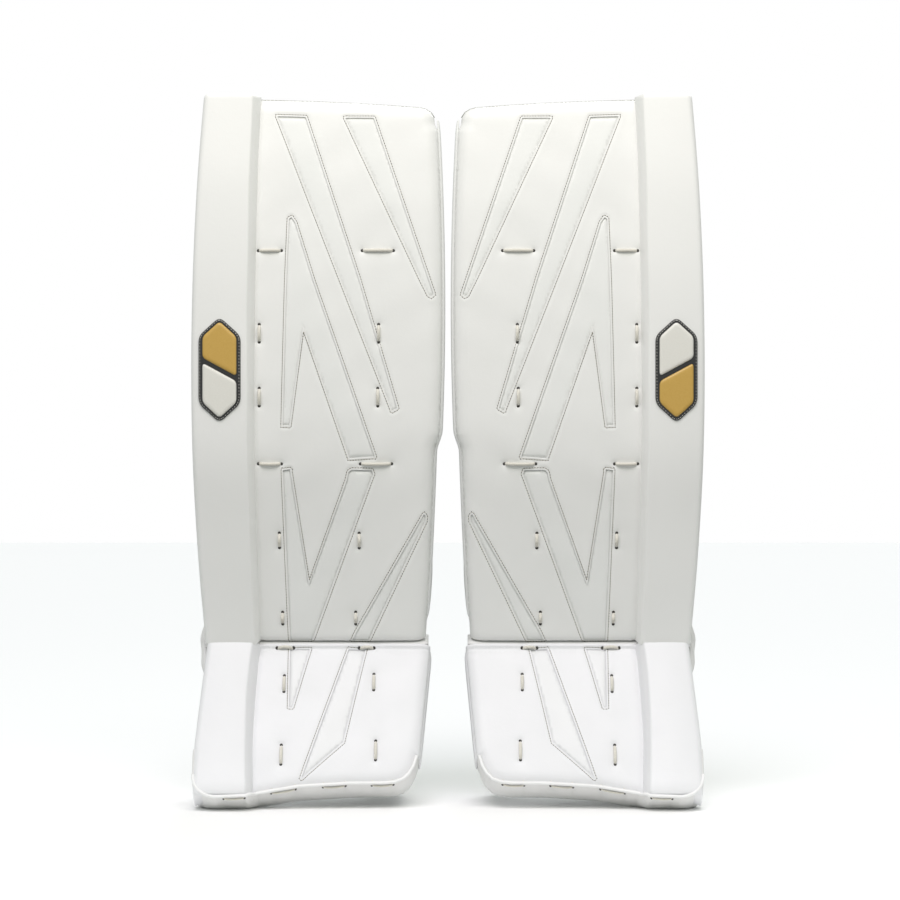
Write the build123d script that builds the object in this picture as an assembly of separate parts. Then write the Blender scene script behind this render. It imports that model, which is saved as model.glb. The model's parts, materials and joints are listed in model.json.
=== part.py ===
"""A pair of ice hockey goalie leg pads, standing upright side by side.

Each pad is a foam board in a synthetic leather skin: a tall shin section, curved over the knee, and a
boot section that leans forward from the break at the ankle. A proud roll runs down the outer edge. Behind
the board are the leg channel's liner pads, the knee and calf blocks on the inner side, two hinged wings on
the outer side with a strap each, and the boot's two flaps with their strap.

The row frame: millimetres, +Z up, -Y towards the shooter, +X towards the wearer's left. The origin is on
the floor, midway between the pads and in the middle of their depth. The left pad is modelled, at +X, and
the right pad is its mirror image.
"""

from build123d import *
import os
from math import asin, atan2, cos, degrees, radians, sqrt

# ---------------------------------------------------------------- driving dimensions, in millimetres
pad_height = 780.0
outer_edge_x = 280.4        # the outer edge at its widest, from the plane between the pads
inner_edge_x = 3.3          # the sliding edge at its nearest to that plane
face_apex_y = -70.7         # the most forward point of the shin's face
face_apex_z = 500.0
thigh_radius = 1700.0       # the face's curve above the apex
shin_radius = 1100.0        # and below it
break_z = 175.0             # the crease between shin and boot, at the face
boot_tilt = 30.0            # the boot's face, from vertical

skin = 2.0                  # synthetic leather with its backing
core = 36.0                 # the shin's foam board
stiffener = 1.6
back_skin = 1.4
boot_core = 35.0
toe_band = 3.0
band_wrap = 55.0            # how far up the boot's sides the toe band reaches
roll_height = 16.0          # how far the outer roll stands proud of the face
panel_sink = 1.0            # how deep the inlaid panels lie below the skin
round_face = 12.0           # the face's rounded edges
roll_round = 4.0            # and the roll's

liner_pad = 12.0
cradle_pad = 24.0
wing = 14.0
flap = 11.0
strap = 3.0
loop_tape = 1.5
seat_gap = 0.4              # between the tape's loops and the strap's hooks
sewn_gap = 0.3              # between pieces of two bodies that lie on each other

lace = 1.8                  # radius of the laces
lace_hole = 2.2
lace_lift = 0.15            # between a lace and the surface that it lies on
lace_bend = 2.2
knot = 3.6                  # radius of the knots behind the pad
eyelet_hole = 3.0
piping_radius = 1.8
piping_bend = 5.0

boot_flex_back = 14.0       # degrees that the boot straightens
boot_flex_forward = 6.0     # and bends further
roll_clearance = 8.0        # degrees from the mitre that each roll's end keeps clear

# ---------------------------------------------------------------- the face's curve
board = skin + core + stiffener + back_skin
boot_board = skin + boot_core + skin


def surface_y(z, depth=0.0):
    """Where the surface that lies depth behind the shin's face is, at height z."""
    radius = thigh_radius if z > face_apex_z else shin_radius
    return face_apex_y + radius - sqrt((radius - depth) ** 2 - (z - face_apex_z) ** 2)


def lean_between(low_z, high_z, depth):
    """The frame of a piece that seats on a surface between two heights: its Z runs up the chord."""
    low_y = surface_y(low_z, depth)
    high_y = surface_y(high_z, depth)
    lean = degrees(atan2(low_y - high_y, high_z - low_z))
    return Location((0, low_y, low_z), (lean, 0, 0)), sqrt((high_z - low_z) ** 2 + (low_y - high_y) ** 2)


def curved_band(near, far):
    """Everything between two depths behind the shin's face, wider and taller than the pad."""
    low, high = -60.0, pad_height + 60.0
    upper_near = (surface_y(high, near), high)
    upper_far = (surface_y(high, far), high)
    lower_near = (surface_y(low, near), low)
    lower_far = (surface_y(low, far), low)
    upper_mid = (high + face_apex_z) / 2
    lower_mid = (low + face_apex_z) / 2
    near_apex = (face_apex_y + near, face_apex_z)
    far_apex = (face_apex_y + far, face_apex_z)
    edges = [
        ThreePointArc(lower_near, (surface_y(lower_mid, near), lower_mid), near_apex),
        ThreePointArc(near_apex, (surface_y(upper_mid, near), upper_mid), upper_near),
        Line(upper_near, upper_far),
        ThreePointArc(upper_far, (surface_y(upper_mid, far), upper_mid), far_apex),
        ThreePointArc(far_apex, (surface_y(lower_mid, far), lower_mid), lower_far),
        Line(lower_far, lower_near),
    ]
    side = Plane.YZ * make_face(edges)
    return extrude(side, amount=outer_edge_x + 60)


def through_depth(outline):
    """A front view outline, made into a solid that runs through the whole depth."""
    return extrude(Plane.XZ * outline, amount=400, both=True)


# ---------------------------------------------------------------- outlines, seen from the front
break_outer_x = outer_edge_x - 13.0
break_inner_x = 21.0
top_outer_x = outer_edge_x - 10.9
belly_z = 471.0             # where the outer edge is at its widest
top_sink = 10.5             # how far the top edge has fallen at its inner end
top_corner = 22.0
knee_low_z = 410.0          # below the knee the inner edge steps outward
edge_step = 25.0
strip_upper = 2.5           # how far the sliding edge stands past the face, above the step
strip_lower = 5.0           # and below it
outline_low = break_z - 60
roll_top_x = outer_edge_x - 71.4    # the roll's inner edge: at the top, half way, and at the break
roll_mid_x = outer_edge_x - 65.9
roll_low_x = outer_edge_x - 70.4


def shin_outline(inset=0.0, strip=0.0):
    """The shin's front view: the face alone, or with its sliding edge where strip is 1."""
    upper = inset + strip_upper * (1 - strip)
    lower = inset + strip_lower * (1 - strip)
    top = pad_height - inset
    outer_low = (break_outer_x - 4 - inset, outline_low)
    outer_top = (top_outer_x - inset, top - 8)
    corner = (outer_top[0] - 8, top)
    inner_top = (inner_edge_x + 8 + upper, top - top_corner)
    inner_corner = (inner_top[0] + 13, top - top_sink)
    step_top = (inner_edge_x + 2.7 + upper, knee_low_z)
    step_low = (inner_edge_x + 6.2 + lower, knee_low_z - edge_step)
    inner_low = (break_inner_x + 3 + lower, outline_low)
    edges = [
        ThreePointArc(outer_low, (outer_edge_x - inset, belly_z), outer_top),
        Line(outer_top, corner),
        ThreePointArc(corner, (150, top - top_sink / 5), inner_corner),
        Line(inner_corner, inner_top),
        ThreePointArc(inner_top, (inner_edge_x + upper, 575), step_top),
        Line(step_top, step_low),
        Line(step_low, inner_low),
        Line(inner_low, outer_low),
    ]
    return make_face(edges)


def roll_outline(inset=0.0):
    """The outer roll's front view above the break: the face's outline outside the roll's inner edge."""
    top = (roll_top_x + inset, pad_height + 20)
    low = (roll_low_x + inset, outline_low)
    edges = [
        ThreePointArc(low, (roll_mid_x + inset, face_apex_z - 20), top),
        Line(top, (outer_edge_x + 40, pad_height + 20)),
        Line((outer_edge_x + 40, pad_height + 20), (outer_edge_x + 40, outline_low)),
        Line((outer_edge_x + 40, outline_low), low),
    ]
    return make_face(edges) & shin_outline(inset)


# The boot is drawn with its face upright: x as on the pad, and y up along the face from the crease.
toe_front_z = 9.6           # the height of the toe's lower edge, where it is longest
boot_length = (break_z - toe_front_z) / cos(radians(boot_tilt))
boot_outer_x = outer_edge_x - 4.4
roll_toe_x = outer_edge_x - 65.4    # where the roll ends and the toe's edge steps back up the face
toe_corner = 9.0


def toe_edge(inset=0.0):
    """The boot's lower edge, from its outer side to its inner side."""
    low = boot_length - inset
    return [
        (boot_outer_x - toe_corner - inset, -low),
        (roll_toe_x + 2, -(low - 1)),
        (roll_toe_x - 9, -(low - 11)),
        (162.0, -(low - 19)),
        (107.0, -(low - 23)),
        (58.0 + inset, -(low - 23)),
    ]


def boot_outline(inset=0.0):
    """The boot's front view, along its own face."""
    under = toe_edge(inset)
    side_top = (boot_outer_x - inset, -125)
    side_low = (boot_outer_x - inset, -(boot_length - toe_corner - inset))
    outer = ThreePointArc((boot_outer_x - 12 - inset, 30), (boot_outer_x - 5.5 - inset, -55), side_top)
    side = Line(side_top, side_low)
    corner = Line(side_low, under[0])
    toe_inner = ThreePointArc(under[-1], (43 + inset, -(boot_length - 34)), (34 + inset, -(boot_length - 55)))
    inner = Line((34 + inset, -(boot_length - 55)), (18 + inset, 30))
    top = Line((18 + inset, 30), (boot_outer_x - 12 - inset, 30))
    return make_face([outer, side, corner, *Polyline(*under).edges(), toe_inner, inner, top])


def boot_roll_outline():
    """The part of the boot's outline that its roll stands on."""
    low = (roll_toe_x, -boot_length - 20)
    top = (roll_low_x, 40)
    edges = [
        ThreePointArc(low, (roll_toe_x + 3.5, -90), top),
        Line(top, (outer_edge_x + 40, 40)),
        Line((outer_edge_x + 40, 40), (outer_edge_x + 40, -boot_length - 20)),
        Line((outer_edge_x + 40, -boot_length - 20), low),
    ]
    return make_face(edges) & boot_outline()


# The inlaid panels' outlines on the shin, x from the mid plane and z, and on the boot, x and along the face.
long_stripe = [(188, 758.5), (156.5, 757.5), (56, 435.5), (61, 432.5)]
short_stripe = [(112.5, 756), (82.5, 756), (15.5, 558), (19.5, 556)]
peak = [
    (174.5, 645), (168.5, 639), (80.5, 382.5), (108, 380.5),
    (158.5, 525.5), (173, 417), (181, 417), (177.5, 638),
]
valley = [(181, 369), (173, 369), (154, 239), (110, 367), (81.5, 369), (85, 357), (157, 120), (173, 120)]
low_stripe = [(26.5, 319), (24.5, 312.5), (100, 130), (122, 130)]
boot_valley = [(175.5, 20), (144.5, 20), (171, -78), (174.5, -78)]
boot_stripe = [(99.5, 20), (86.5, 20), (114.5, -(boot_length - 70)), (158.5, -(boot_length - 29))]

# The laces that show on the face: x, z, whether they run across the pad, and their length.
shin_lace_places = [
    (195.5, 609, True, 25), (77, 609, True, 34),
    (207, 518, False, 19), (76, 518, False, 19),
    (207, 448, False, 19), (77, 448, False, 19),
    (195.5, 375, True, 25), (79, 375, True, 34),
    (186, 290, False, 16), (98, 290, False, 16),
    (183.5, 203, False, 13), (102.5, 203, False, 13),
]
# And on the boot: x, distance down the face, whether they run across, and their length.
boot_lace_places = [
    (181, 5, True, 18), (90.5, 5, True, 16),
    (181, 49, False, 19), (82, 47, False, 19),
    (182, 134, False, 22), (79, 129, False, 22),
]


def panels(*outlines):
    """Several panel outlines as one solid each, through the whole depth."""
    return [through_depth(make_face(Polyline(*points, close=True))) for points in outlines]


def joined(shapes):
    """Every solid of several shapes, as one list."""
    return [solid for shape in shapes for solid in shape.solids()]


def node(shapes):
    """The solids of one node, kept apart in one compound."""
    return Compound(children=joined(shapes))


# ---------------------------------------------------------------- the cut at the break
crease_y = surface_y(break_z)
# The shin's lower end climbs to the rear and the boot's upper end falls, so that neither meets the other.
shin_end_rise = boot_flex_forward
boot_end_drop = boot_flex_back + roll_clearance
mitre = (boot_tilt - degrees(asin((face_apex_z - break_z) / shin_radius))) / 2


def half_space(angle, above):
    """All above, or below, the plane across the crease that climbs to the rear by angle."""
    size = 900.0
    block = Box(size, size, size, align=(Align.CENTER, Align.CENTER, Align.MIN if above else Align.MAX))
    return Location((0, crease_y, break_z), (angle, 0, 0)) * block


above_shin_end = half_space(shin_end_rise, True)
below_boot_end = half_space(-boot_end_drop, False)
above_roll_end = half_space(-(mitre + roll_clearance), True)
below_roll_end = half_space(-(mitre - roll_clearance), False)
boot_frame = Location((0, crease_y, break_z), (-boot_tilt, 0, 0))
floor_space = Pos(0, 0, -200) * Box(900, 900, 400)


def shin_layer(near, far, outline):
    return curved_band(near, far) & through_depth(outline)


def boot_layer(near, far, outline):
    slab = Pos(0, (near + far) / 2, 0) * Box(900, far - near, 900)
    return boot_frame * (slab & through_depth(outline))


def on_face(edge, depth=0.0):
    """Whether an edge lies along the front of a layer that starts at depth behind the face."""
    middle = edge.position_at(0.5)
    return abs(middle.Y - surface_y(middle.Z, depth)) < 3


# ---------------------------------------------------------------- laces
def lace_loop(length, depth):
    """A lace through the pad: a bar on the face at y = 0, two legs back to depth, and a knot on each."""
    front = -(lace + lace_lift)
    knot_y = depth + knot + lace_lift
    half = length / 2 - lace
    path = FilletPolyline((-half, knot_y), (-half, front), (half, front), (half, knot_y), radius=lace_bend)
    section = Plane(origin=(-half, knot_y, 0), z_dir=(0, -1, 0)) * Circle(lace)
    ends = [Pos(x, knot_y, 0) * Sphere(knot) for x in (-half, half)]
    return sweep(section, path=path) + ends


def lace_legs(length, depth):
    """The two holes that such a lace runs through."""
    half = length / 2 - lace
    hole = Rot(-90, 0, 0) * Cylinder(lace_hole, depth + 20, align=(Align.CENTER, Align.CENTER, Align.MIN))
    return Pos(-half, -8, 0) * hole + Pos(half, -8, 0) * hole


def shin_lace_frame(x, z, across):
    radius = thigh_radius if z > face_apex_z else shin_radius
    climb = degrees(asin((z - face_apex_z) / radius))
    turn = 0 if across else 90
    return Location((x, surface_y(z), z), (-climb, 0, 0)) * Rot(0, turn, 0)


def boot_lace_frame(x, s, across):
    turn = 0 if across else 90
    return boot_frame * Pos(x, 0, -s) * Rot(0, turn, 0)


def lace_depth(z):
    """How thick the pad is where a lace runs through it: the board and the pad behind it."""
    if z > knee_pad_low:
        return board + cradle_pad
    if z < calf_pad_high:
        return board + liner_pad
    return board


knee_pad_low, knee_pad_high = 432.0, 628.0
calf_pad_low, calf_pad_high = 186.0, 424.0
pad_inner_x, pad_outer_x = 58.5, 240.0

shin_laces = []
shin_holes = []
for x, z, across, length in shin_lace_places:
    where = shin_lace_frame(x, z, across)
    shin_laces.append(where * lace_loop(length, lace_depth(z)))
    shin_holes.append(where * lace_legs(length, lace_depth(z)))
shin_holes = Compound(children=joined(shin_holes))

boot_laces = []
boot_holes = []
for x, s, across, length in boot_lace_places:
    where = boot_lace_frame(x, s, across)
    boot_laces.append(where * lace_loop(length, boot_board))
    boot_holes.append(where * lace_legs(length, boot_board))
boot_holes = Compound(children=joined(boot_holes))

parts = {}

# ---------------------------------------------------------------- the shin's board
face_outline = shin_outline()
core_outline = shin_outline(inset=skin)
windows = panels(long_stripe, short_stripe, peak, valley, low_stripe)
roll_plan = roll_outline()

sharp_shell = shin_layer(0, board, face_outline) & above_shin_end
front_edges = [e for e in sharp_shell.edges() if on_face(e) and e.position_at(0.5).Z > break_z + 12]
front_edges = [e for e in front_edges if e.position_at(0.5).X < roll_low_x]
round_shell = fillet(front_edges, radius=min(round_face, board / 3))
outer_shell = round_shell + (sharp_shell & through_depth(roll_plan))
inside = outer_shell & through_depth(core_outline)
parts["face_skin"] = (outer_shell - shin_layer(skin, board + 10, core_outline)) - windows - shin_holes
panel_band = curved_band(panel_sink, skin)
parts["face_panels"] = node([(panel_band & window & above_shin_end) - shin_holes for window in windows])
parts["shin_core"] = (inside & curved_band(skin, skin + core)) - shin_holes
parts["stiffener"] = (inside & curved_band(skin + core, board - back_skin)) - shin_holes
parts["back_skin"] = (inside & curved_band(board - back_skin, board)) - shin_holes
strip_zone = Pos(0, 0, (break_z + pad_height) / 2) * Box(80, 600, pad_height - break_z - 50)
sliding = through_depth(shin_outline(strip=1.0)) - through_depth(face_outline)
parts["sliding_edge"] = sliding & curved_band(round_face - 2, board) & strip_zone & above_shin_end

# ---------------------------------------------------------------- the outer roll and its badge
roll_block = shin_layer(-roll_height, 0, roll_plan) & above_roll_end
roll_edges = [
    edge for edge in roll_block.edges()
    if on_face(edge, -roll_height) and edge.position_at(0.5).Z > break_z + 25
]
roll_block = fillet(roll_edges, radius=min(roll_round, roll_height / 3))
roll_inside = shin_layer(skin - roll_height, 0, roll_outline(inset=skin))
roll_inside = roll_inside & Pos(0, 0, skin) * above_roll_end
parts["roll_cover"] = roll_block - roll_inside
parts["roll_foam"] = roll_inside

badge_x, badge_z = outer_edge_x - 31.4, 478.0
badge_width, badge_height = 46.0, 114.0
badge_plate = 1.3
badge_field = 1.5


def lozenge(width, height, corner):
    """A long six-sided badge with rounded corners."""
    half_w, half_h = width / 2, height / 2
    shoulder = half_h - half_w * 0.9
    points = [
        (-half_w, shoulder), (0, half_h), (half_w, shoulder),
        (half_w, -shoulder), (0, -half_h), (-half_w, -shoulder),
    ]
    shape = make_face(Polyline(*points, close=True))
    return fillet(shape.vertices(), radius=corner)


def badge_layer(near, far, outline):
    return curved_band(near, far) & through_depth(Pos(badge_x, badge_z) * outline)


badge_border = 4.5
inner_badge = lozenge(badge_width - 2 * badge_border, badge_height - 2 * badge_border * 1.15, 3.5)
bar = Rot(0, 0, 28) * Rectangle(badge_width * 2, 4.0)
upper_half = Rot(0, 0, 28) * Pos(0, 100) * Rectangle(300, 200)
lower_half = Rot(0, 0, 28) * Pos(0, -100) * Rectangle(300, 200)
field_seat = -roll_height - badge_plate
field_top = field_seat - badge_field
parts["badge_plate"] = badge_layer(field_seat, -roll_height, lozenge(badge_width, badge_height, 6))
parts["badge_fields"] = node([
    badge_layer(field_top, field_seat, (inner_badge & upper_half) - bar),
    badge_layer(field_top, field_seat, (inner_badge & lower_half) - bar),
])
parts["face_laces"] = node(shin_laces)

# ---------------------------------------------------------------- the pads, blocks and wings behind the shin
wing_x = outer_edge_x - 11.4        # the wings' outer faces
wing_bend = 46.0
calf_wing_low, calf_wing_high = 196.0, 404.0
calf_depth = 120.0
calf_reach = 92.0
knee_wing_low, knee_wing_high = 446.0, 616.0
knee_depth = 104.0
knee_reach = 80.0
wing_corner = 24.0
fit_reach = 15.0            # how far a wing's or block's blank reaches into the board before it is fitted
block_near_x = 20.0
calf_block_far_x = 56.0
knee_block_far_x = 57.0
calf_strap_width = 50.0
knee_strap_width = 45.0
anchor = 30.0               # a strap's sewn end on its wing
strap_inset = 3.0           # from the wing's free edge to the strap's hinge line
strap_slack = 1.0           # between the strap's run and its sewn end
strap_tip = 4.0             # how far the strap's end stops short of the block's side
tape_margin = 10.0          # from the loop tape to the block's sides, and past the strap's edges

board_space = curved_band(-40, board)


def rear_pad(low_z, high_z, thickness, corner):
    """A liner pad on the back skin, its front view a rounded rectangle."""
    plan = Pos((pad_inner_x + pad_outer_x) / 2, (low_z + high_z) / 2) * RectangleRounded(
        pad_outer_x - pad_inner_x, high_z - low_z, corner
    )
    return (curved_band(board, board + thickness) & through_depth(plan)) - shin_holes


parts["shin_pad"] = rear_pad(calf_pad_low, calf_pad_high, liner_pad, 18)
leg_y = surface_y(face_apex_z, board) + cradle_pad + 62
leg_hollow = Pos((pad_inner_x + pad_outer_x) / 2, leg_y, face_apex_z) * Cylinder(72, 400)
parts["knee_cradle"] = rear_pad(knee_pad_low, knee_pad_high, cradle_pad, 24) - leg_hollow


def block(frame, height, near_x, far_x, depth, corner):
    """A foam block that stands on the back skin, in the frame of its seat."""
    blank = Box(far_x - near_x, depth + 2 * fit_reach, height)
    body = Pos((near_x + far_x) / 2, depth / 2 - fit_reach, height / 2) * blank
    edges = body.edges().group_by(Axis.Y)[-1]
    body = fillet(edges, radius=corner)
    return (frame * body) - board_space


def j_section(outer_x, depth, reach, thickness, bend, start):
    """Plan view of a wing or flap: back from the board at outer_x, then round across the leg by reach."""
    across = 1 if reach > 0 else -1
    middle = outer_x + across * thickness / 2
    rear = depth - thickness / 2
    path = FilletPolyline((middle, start), (middle, rear), (outer_x + reach, rear), radius=bend)
    return trace(path, line_width=thickness)


def wing_solid(frame, height, depth, reach, corner):
    """A foam wing: its plan run up its hinge line, with rounded free corners, fitted to the board's back."""
    body = extrude(j_section(wing_x, depth, reach, wing, wing_bend, -fit_reach), amount=height)
    free = body.faces().sort_by(Axis.X)[0]
    body = fillet(free.edges().filter_by(Axis.Y), radius=corner)
    return (frame * body) - curved_band(-40, board + sewn_gap)


def strap_solids(frame, middle, hinge_x, seat_y, width, far_x):
    """A strap's free run, from its hinge line to the far side, and its sewn end on the wing or flap."""
    length = hinge_x - strap_slack - far_x
    run = Pos(far_x + length / 2, seat_y + sewn_gap + strap / 2, middle) * Box(length, strap, width)
    run = fillet(run.faces().sort_by(Axis.X)[0].edges().filter_by(Axis.Y), radius=8)
    sewn = Pos(hinge_x + anchor / 2, seat_y + strap / 2, middle) * Box(anchor, strap, width)
    return frame * run, frame * sewn


calf_frame, calf_height = lean_between(calf_wing_low, calf_wing_high, board)
knee_frame, knee_height = lean_between(knee_wing_low, knee_wing_high, board)
calf_hinge_x = wing_x - calf_reach + strap_inset
knee_hinge_x = wing_x - knee_reach + strap_inset
strap_far_x = block_near_x + strap_tip
calf_run, calf_sewn = strap_solids(
    calf_frame, calf_height / 2, calf_hinge_x, calf_depth, calf_strap_width, strap_far_x
)
knee_run, knee_sewn = strap_solids(
    knee_frame, knee_height / 2, knee_hinge_x, knee_depth, knee_strap_width, strap_far_x
)
calf_flap = wing_solid(calf_frame, calf_height, calf_depth, -calf_reach, wing_corner)
knee_flap = wing_solid(knee_frame, knee_height, knee_depth, -knee_reach, wing_corner)
parts["calf_wing"] = node([calf_flap, calf_sewn])
parts["knee_wing"] = node([knee_flap, knee_sewn])
parts["calf_strap"] = calf_run
parts["knee_strap"] = knee_run

# From a strap's seat on its wing down to the face that its tape is on.
tape_drop = seat_gap + loop_tape - sewn_gap
calf_block_depth = calf_depth - tape_drop
knee_block_depth = knee_depth - tape_drop
parts["calf_block"] = block(calf_frame, calf_height, block_near_x, calf_block_far_x, calf_block_depth, 10)
parts["knee_block"] = block(knee_frame, knee_height, block_near_x, knee_block_far_x, knee_block_depth, 12)


def tape(frame, middle, depth, near_x, far_x, width):
    """A patch of loop tape on the face that lies at depth, where the strap's hooks hold."""
    size = Box(far_x - near_x - 2 * tape_margin, loop_tape, width + 2 * tape_margin)
    return frame * Pos((far_x + near_x) / 2, depth + loop_tape / 2, middle) * size


parts["loop_tapes"] = node([
    tape(calf_frame, calf_height / 2, calf_block_depth, block_near_x, calf_block_far_x, calf_strap_width),
    tape(knee_frame, knee_height / 2, knee_block_depth, block_near_x, knee_block_far_x, knee_strap_width),
])

# ---------------------------------------------------------------- the boot
boot_plan = through_depth(boot_outline())
boot_inner_plan = through_depth(boot_outline(inset=skin))
above_wrap = Pos(0, 0, 450 - (boot_length - band_wrap)) * Box(900, 900, 900)
over_band = boot_frame * ((Pos(0, 0, toe_band) * boot_plan) + (boot_plan & above_wrap))
over_floor = Pos(0, 0, toe_band) * floor_space
boot_block = (boot_layer(0, boot_board, boot_outline()) & below_boot_end) - floor_space
boot_upper = (boot_block & over_band) - over_floor
boot_inside = boot_layer(skin, skin + boot_core, boot_outline(inset=skin)) & below_boot_end
boot_inside = boot_inside & (boot_frame * Pos(0, 0, toe_band) * boot_inner_plan)
boot_inside = boot_inside - Pos(0, 0, toe_band + skin) * floor_space
boot_windows = panels(boot_valley, boot_stripe)
window_cuts = [boot_frame * (window & Box(900, 2 * skin, 900)) for window in boot_windows]
panel_slab = Pos(0, (panel_sink + skin) / 2, 0) * Box(900, skin - panel_sink, 900)
parts["boot_core"] = boot_inside - boot_holes
parts["boot_skin"] = (boot_upper - boot_inside) - window_cuts - boot_holes
boot_inlays = [(boot_frame * (window & panel_slab)) & below_boot_end for window in boot_windows]
parts["boot_panels"] = node([inlay - boot_holes for inlay in boot_inlays])

boot_roll_block = (boot_layer(-roll_height, 0, boot_roll_outline()) & below_roll_end) - floor_space
boot_roll = boot_roll_block & over_band
parts["boot_laces"] = node(boot_laces)


def piping():
    """The cord in the toe band's front edge: across the roll's end, down its step, and over the face."""
    edge = toe_edge()
    proud = -roll_height
    points = [(edge[0][0], proud, edge[0][1]), (edge[1][0], proud, edge[1][1]), (edge[2][0], 0, edge[2][1])]
    points += [(x, 0, s) for x, s in edge[3:]]
    path = FilletPolyline(*points, radius=piping_bend)
    start = Plane(origin=path @ 0, z_dir=path % 0)
    return boot_frame * sweep(start * Circle(piping_radius), path=path)


toe_cord = piping()
parts["toe_piping"] = toe_cord
parts["toe_band"] = ((boot_block - boot_upper) + (boot_roll_block - boot_roll)) - toe_cord
parts["boot_roll"] = boot_roll - toe_cord
parts["boot_skin"] = parts["boot_skin"] - toe_cord

# The flaps stand upright behind the boot, and their plan is drawn on the floor.
flap_top = 150.0
flap_rear_y = 52.0
outer_flap_x = outer_edge_x - 15.4
outer_flap_reach = 76.0
inner_flap_x = 39.0
inner_flap_reach = 44.0
inner_flap_low = 14.0
flap_bend = 34.0
flap_start_y = -90.0
boot_strap_width = 38.0
boot_strap_z = 84.0
inner_flap_rear_y = flap_rear_y - tape_drop

boot_space = boot_layer(-60, boot_board, Rectangle(900, 900))
outer_plan = j_section(outer_flap_x, flap_rear_y, -outer_flap_reach, flap, flap_bend, flap_start_y)
inner_plan = j_section(inner_flap_x, inner_flap_rear_y, inner_flap_reach, flap, flap_bend - 10, flap_start_y)
outer_flap = extrude(outer_plan, amount=flap_top)
inner_flap = Pos(0, 0, inner_flap_low) * extrude(inner_plan, amount=flap_top - inner_flap_low)
flap_hinge_x = outer_flap_x - outer_flap_reach + strap_inset
boot_run, boot_sewn = strap_solids(
    Location((0, 0, 0)), boot_strap_z, flap_hinge_x, flap_rear_y, boot_strap_width, inner_flap_x + strap_tip
)
flap_tape = tape(
    Location((0, 0, 0)), boot_strap_z, inner_flap_rear_y,
    inner_flap_x + 12, inner_flap_x + inner_flap_reach + 8, boot_strap_width - 8
)
flaps = [(flap_solid & below_boot_end) - boot_space for flap_solid in (outer_flap, inner_flap)]
parts["boot_flaps"] = node([*flaps, boot_sewn, flap_tape])
parts["boot_strap"] = boot_run

# The toe bridge arches off the boot's back, and the skate's toe cord ties through its two eyelets.
bridge_thickness = 4.0
bridge_rise = 11.0
bridge_width = 30.0
bridge_s = boot_length - 59.0
bridge_x = 130.0
bridge_half = 40.0
bridge_foot = 15.0
bridge_slope = 9.0
eyelet_spacing = 24.0


def toe_bridge():
    """An arched strap of stiff webbing: two sewn feet and a raised middle with two eyelets."""
    low = boot_board + bridge_thickness / 2
    high = low + bridge_rise
    half = bridge_half
    inner = half - bridge_foot
    top = inner - bridge_slope
    points = [(-half, low), (-inner, low), (-top, high), (top, high), (inner, low), (half, low)]
    path = FilletPolyline(*points, radius=bridge_thickness)
    band = extrude(trace(path, line_width=bridge_thickness), amount=bridge_width / 2, both=True)
    for side in (-1, 1):
        drill = Rot(90, 0, 0) * Cylinder(eyelet_hole, 4 * bridge_thickness)
        drill = Pos(side * eyelet_spacing / 2, high, 0) * drill
        band = band - drill
    return boot_frame * Pos(bridge_x, 0, -bridge_s) * band


parts["toe_bridge"] = toe_bridge()

# ---------------------------------------------------------------- both pads, and the files
os.makedirs("parts", exist_ok=True)
for name, shape in parts.items():
    export_step(node([shape]), f"parts/left_{name}.step")
    export_step(node([mirror(shape, about=Plane.YZ)]), f"parts/right_{name}.step")
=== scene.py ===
import json
from math import cos, pi, radians, sin

import bpy
import numpy as np
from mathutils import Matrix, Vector
from mathutils.geometry import delaunay_2d_cdt
from mathutils.kdtree import KDTree


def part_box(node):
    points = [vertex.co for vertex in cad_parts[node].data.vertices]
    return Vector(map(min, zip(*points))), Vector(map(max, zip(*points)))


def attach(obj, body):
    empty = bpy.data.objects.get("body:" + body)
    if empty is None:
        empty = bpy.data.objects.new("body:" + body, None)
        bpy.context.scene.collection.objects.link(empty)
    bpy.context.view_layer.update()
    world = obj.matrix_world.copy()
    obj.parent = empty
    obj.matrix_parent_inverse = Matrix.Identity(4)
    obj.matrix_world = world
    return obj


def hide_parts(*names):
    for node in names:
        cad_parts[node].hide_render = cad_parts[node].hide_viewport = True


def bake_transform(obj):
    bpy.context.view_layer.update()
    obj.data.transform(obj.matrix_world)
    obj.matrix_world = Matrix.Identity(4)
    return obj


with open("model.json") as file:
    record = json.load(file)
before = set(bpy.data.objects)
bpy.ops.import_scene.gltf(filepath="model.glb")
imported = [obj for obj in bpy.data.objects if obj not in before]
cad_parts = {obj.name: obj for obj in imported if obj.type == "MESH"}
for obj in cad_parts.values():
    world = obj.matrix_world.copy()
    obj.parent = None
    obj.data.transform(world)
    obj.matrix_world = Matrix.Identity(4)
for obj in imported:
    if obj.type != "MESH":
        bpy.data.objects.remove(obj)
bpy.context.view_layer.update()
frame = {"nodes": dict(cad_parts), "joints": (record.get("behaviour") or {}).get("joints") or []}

# ---------------------------------------------------------------- the face skin
# One sheet of smooth white synthetic leather, stretched over the shin's foam board, turned round its edges
# and sewn to the back. Windows are cut in it for the inlays, and laces pull it into small dimples.
# All sizes are in millimetres: x from the plane between the pads, z up, depth behind the face.
thigh_radius, shin_radius = 1700.0, 1100.0
apex_z = 500.0
board = 41.0
joints = {joint["name"]: joint for joint in frame["joints"]}
crease_y, break_z = (1000 * v for v in joints["left_boot_flex"]["pos_m"][1:])
apex_y = 1000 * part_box("left_face_skin")[0].y
pad_height = 1000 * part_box("left_roll_cover")[1].z
boot_tilt = radians(30)
knee_swell, knee_break_z = 3.8, 388.0


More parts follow.
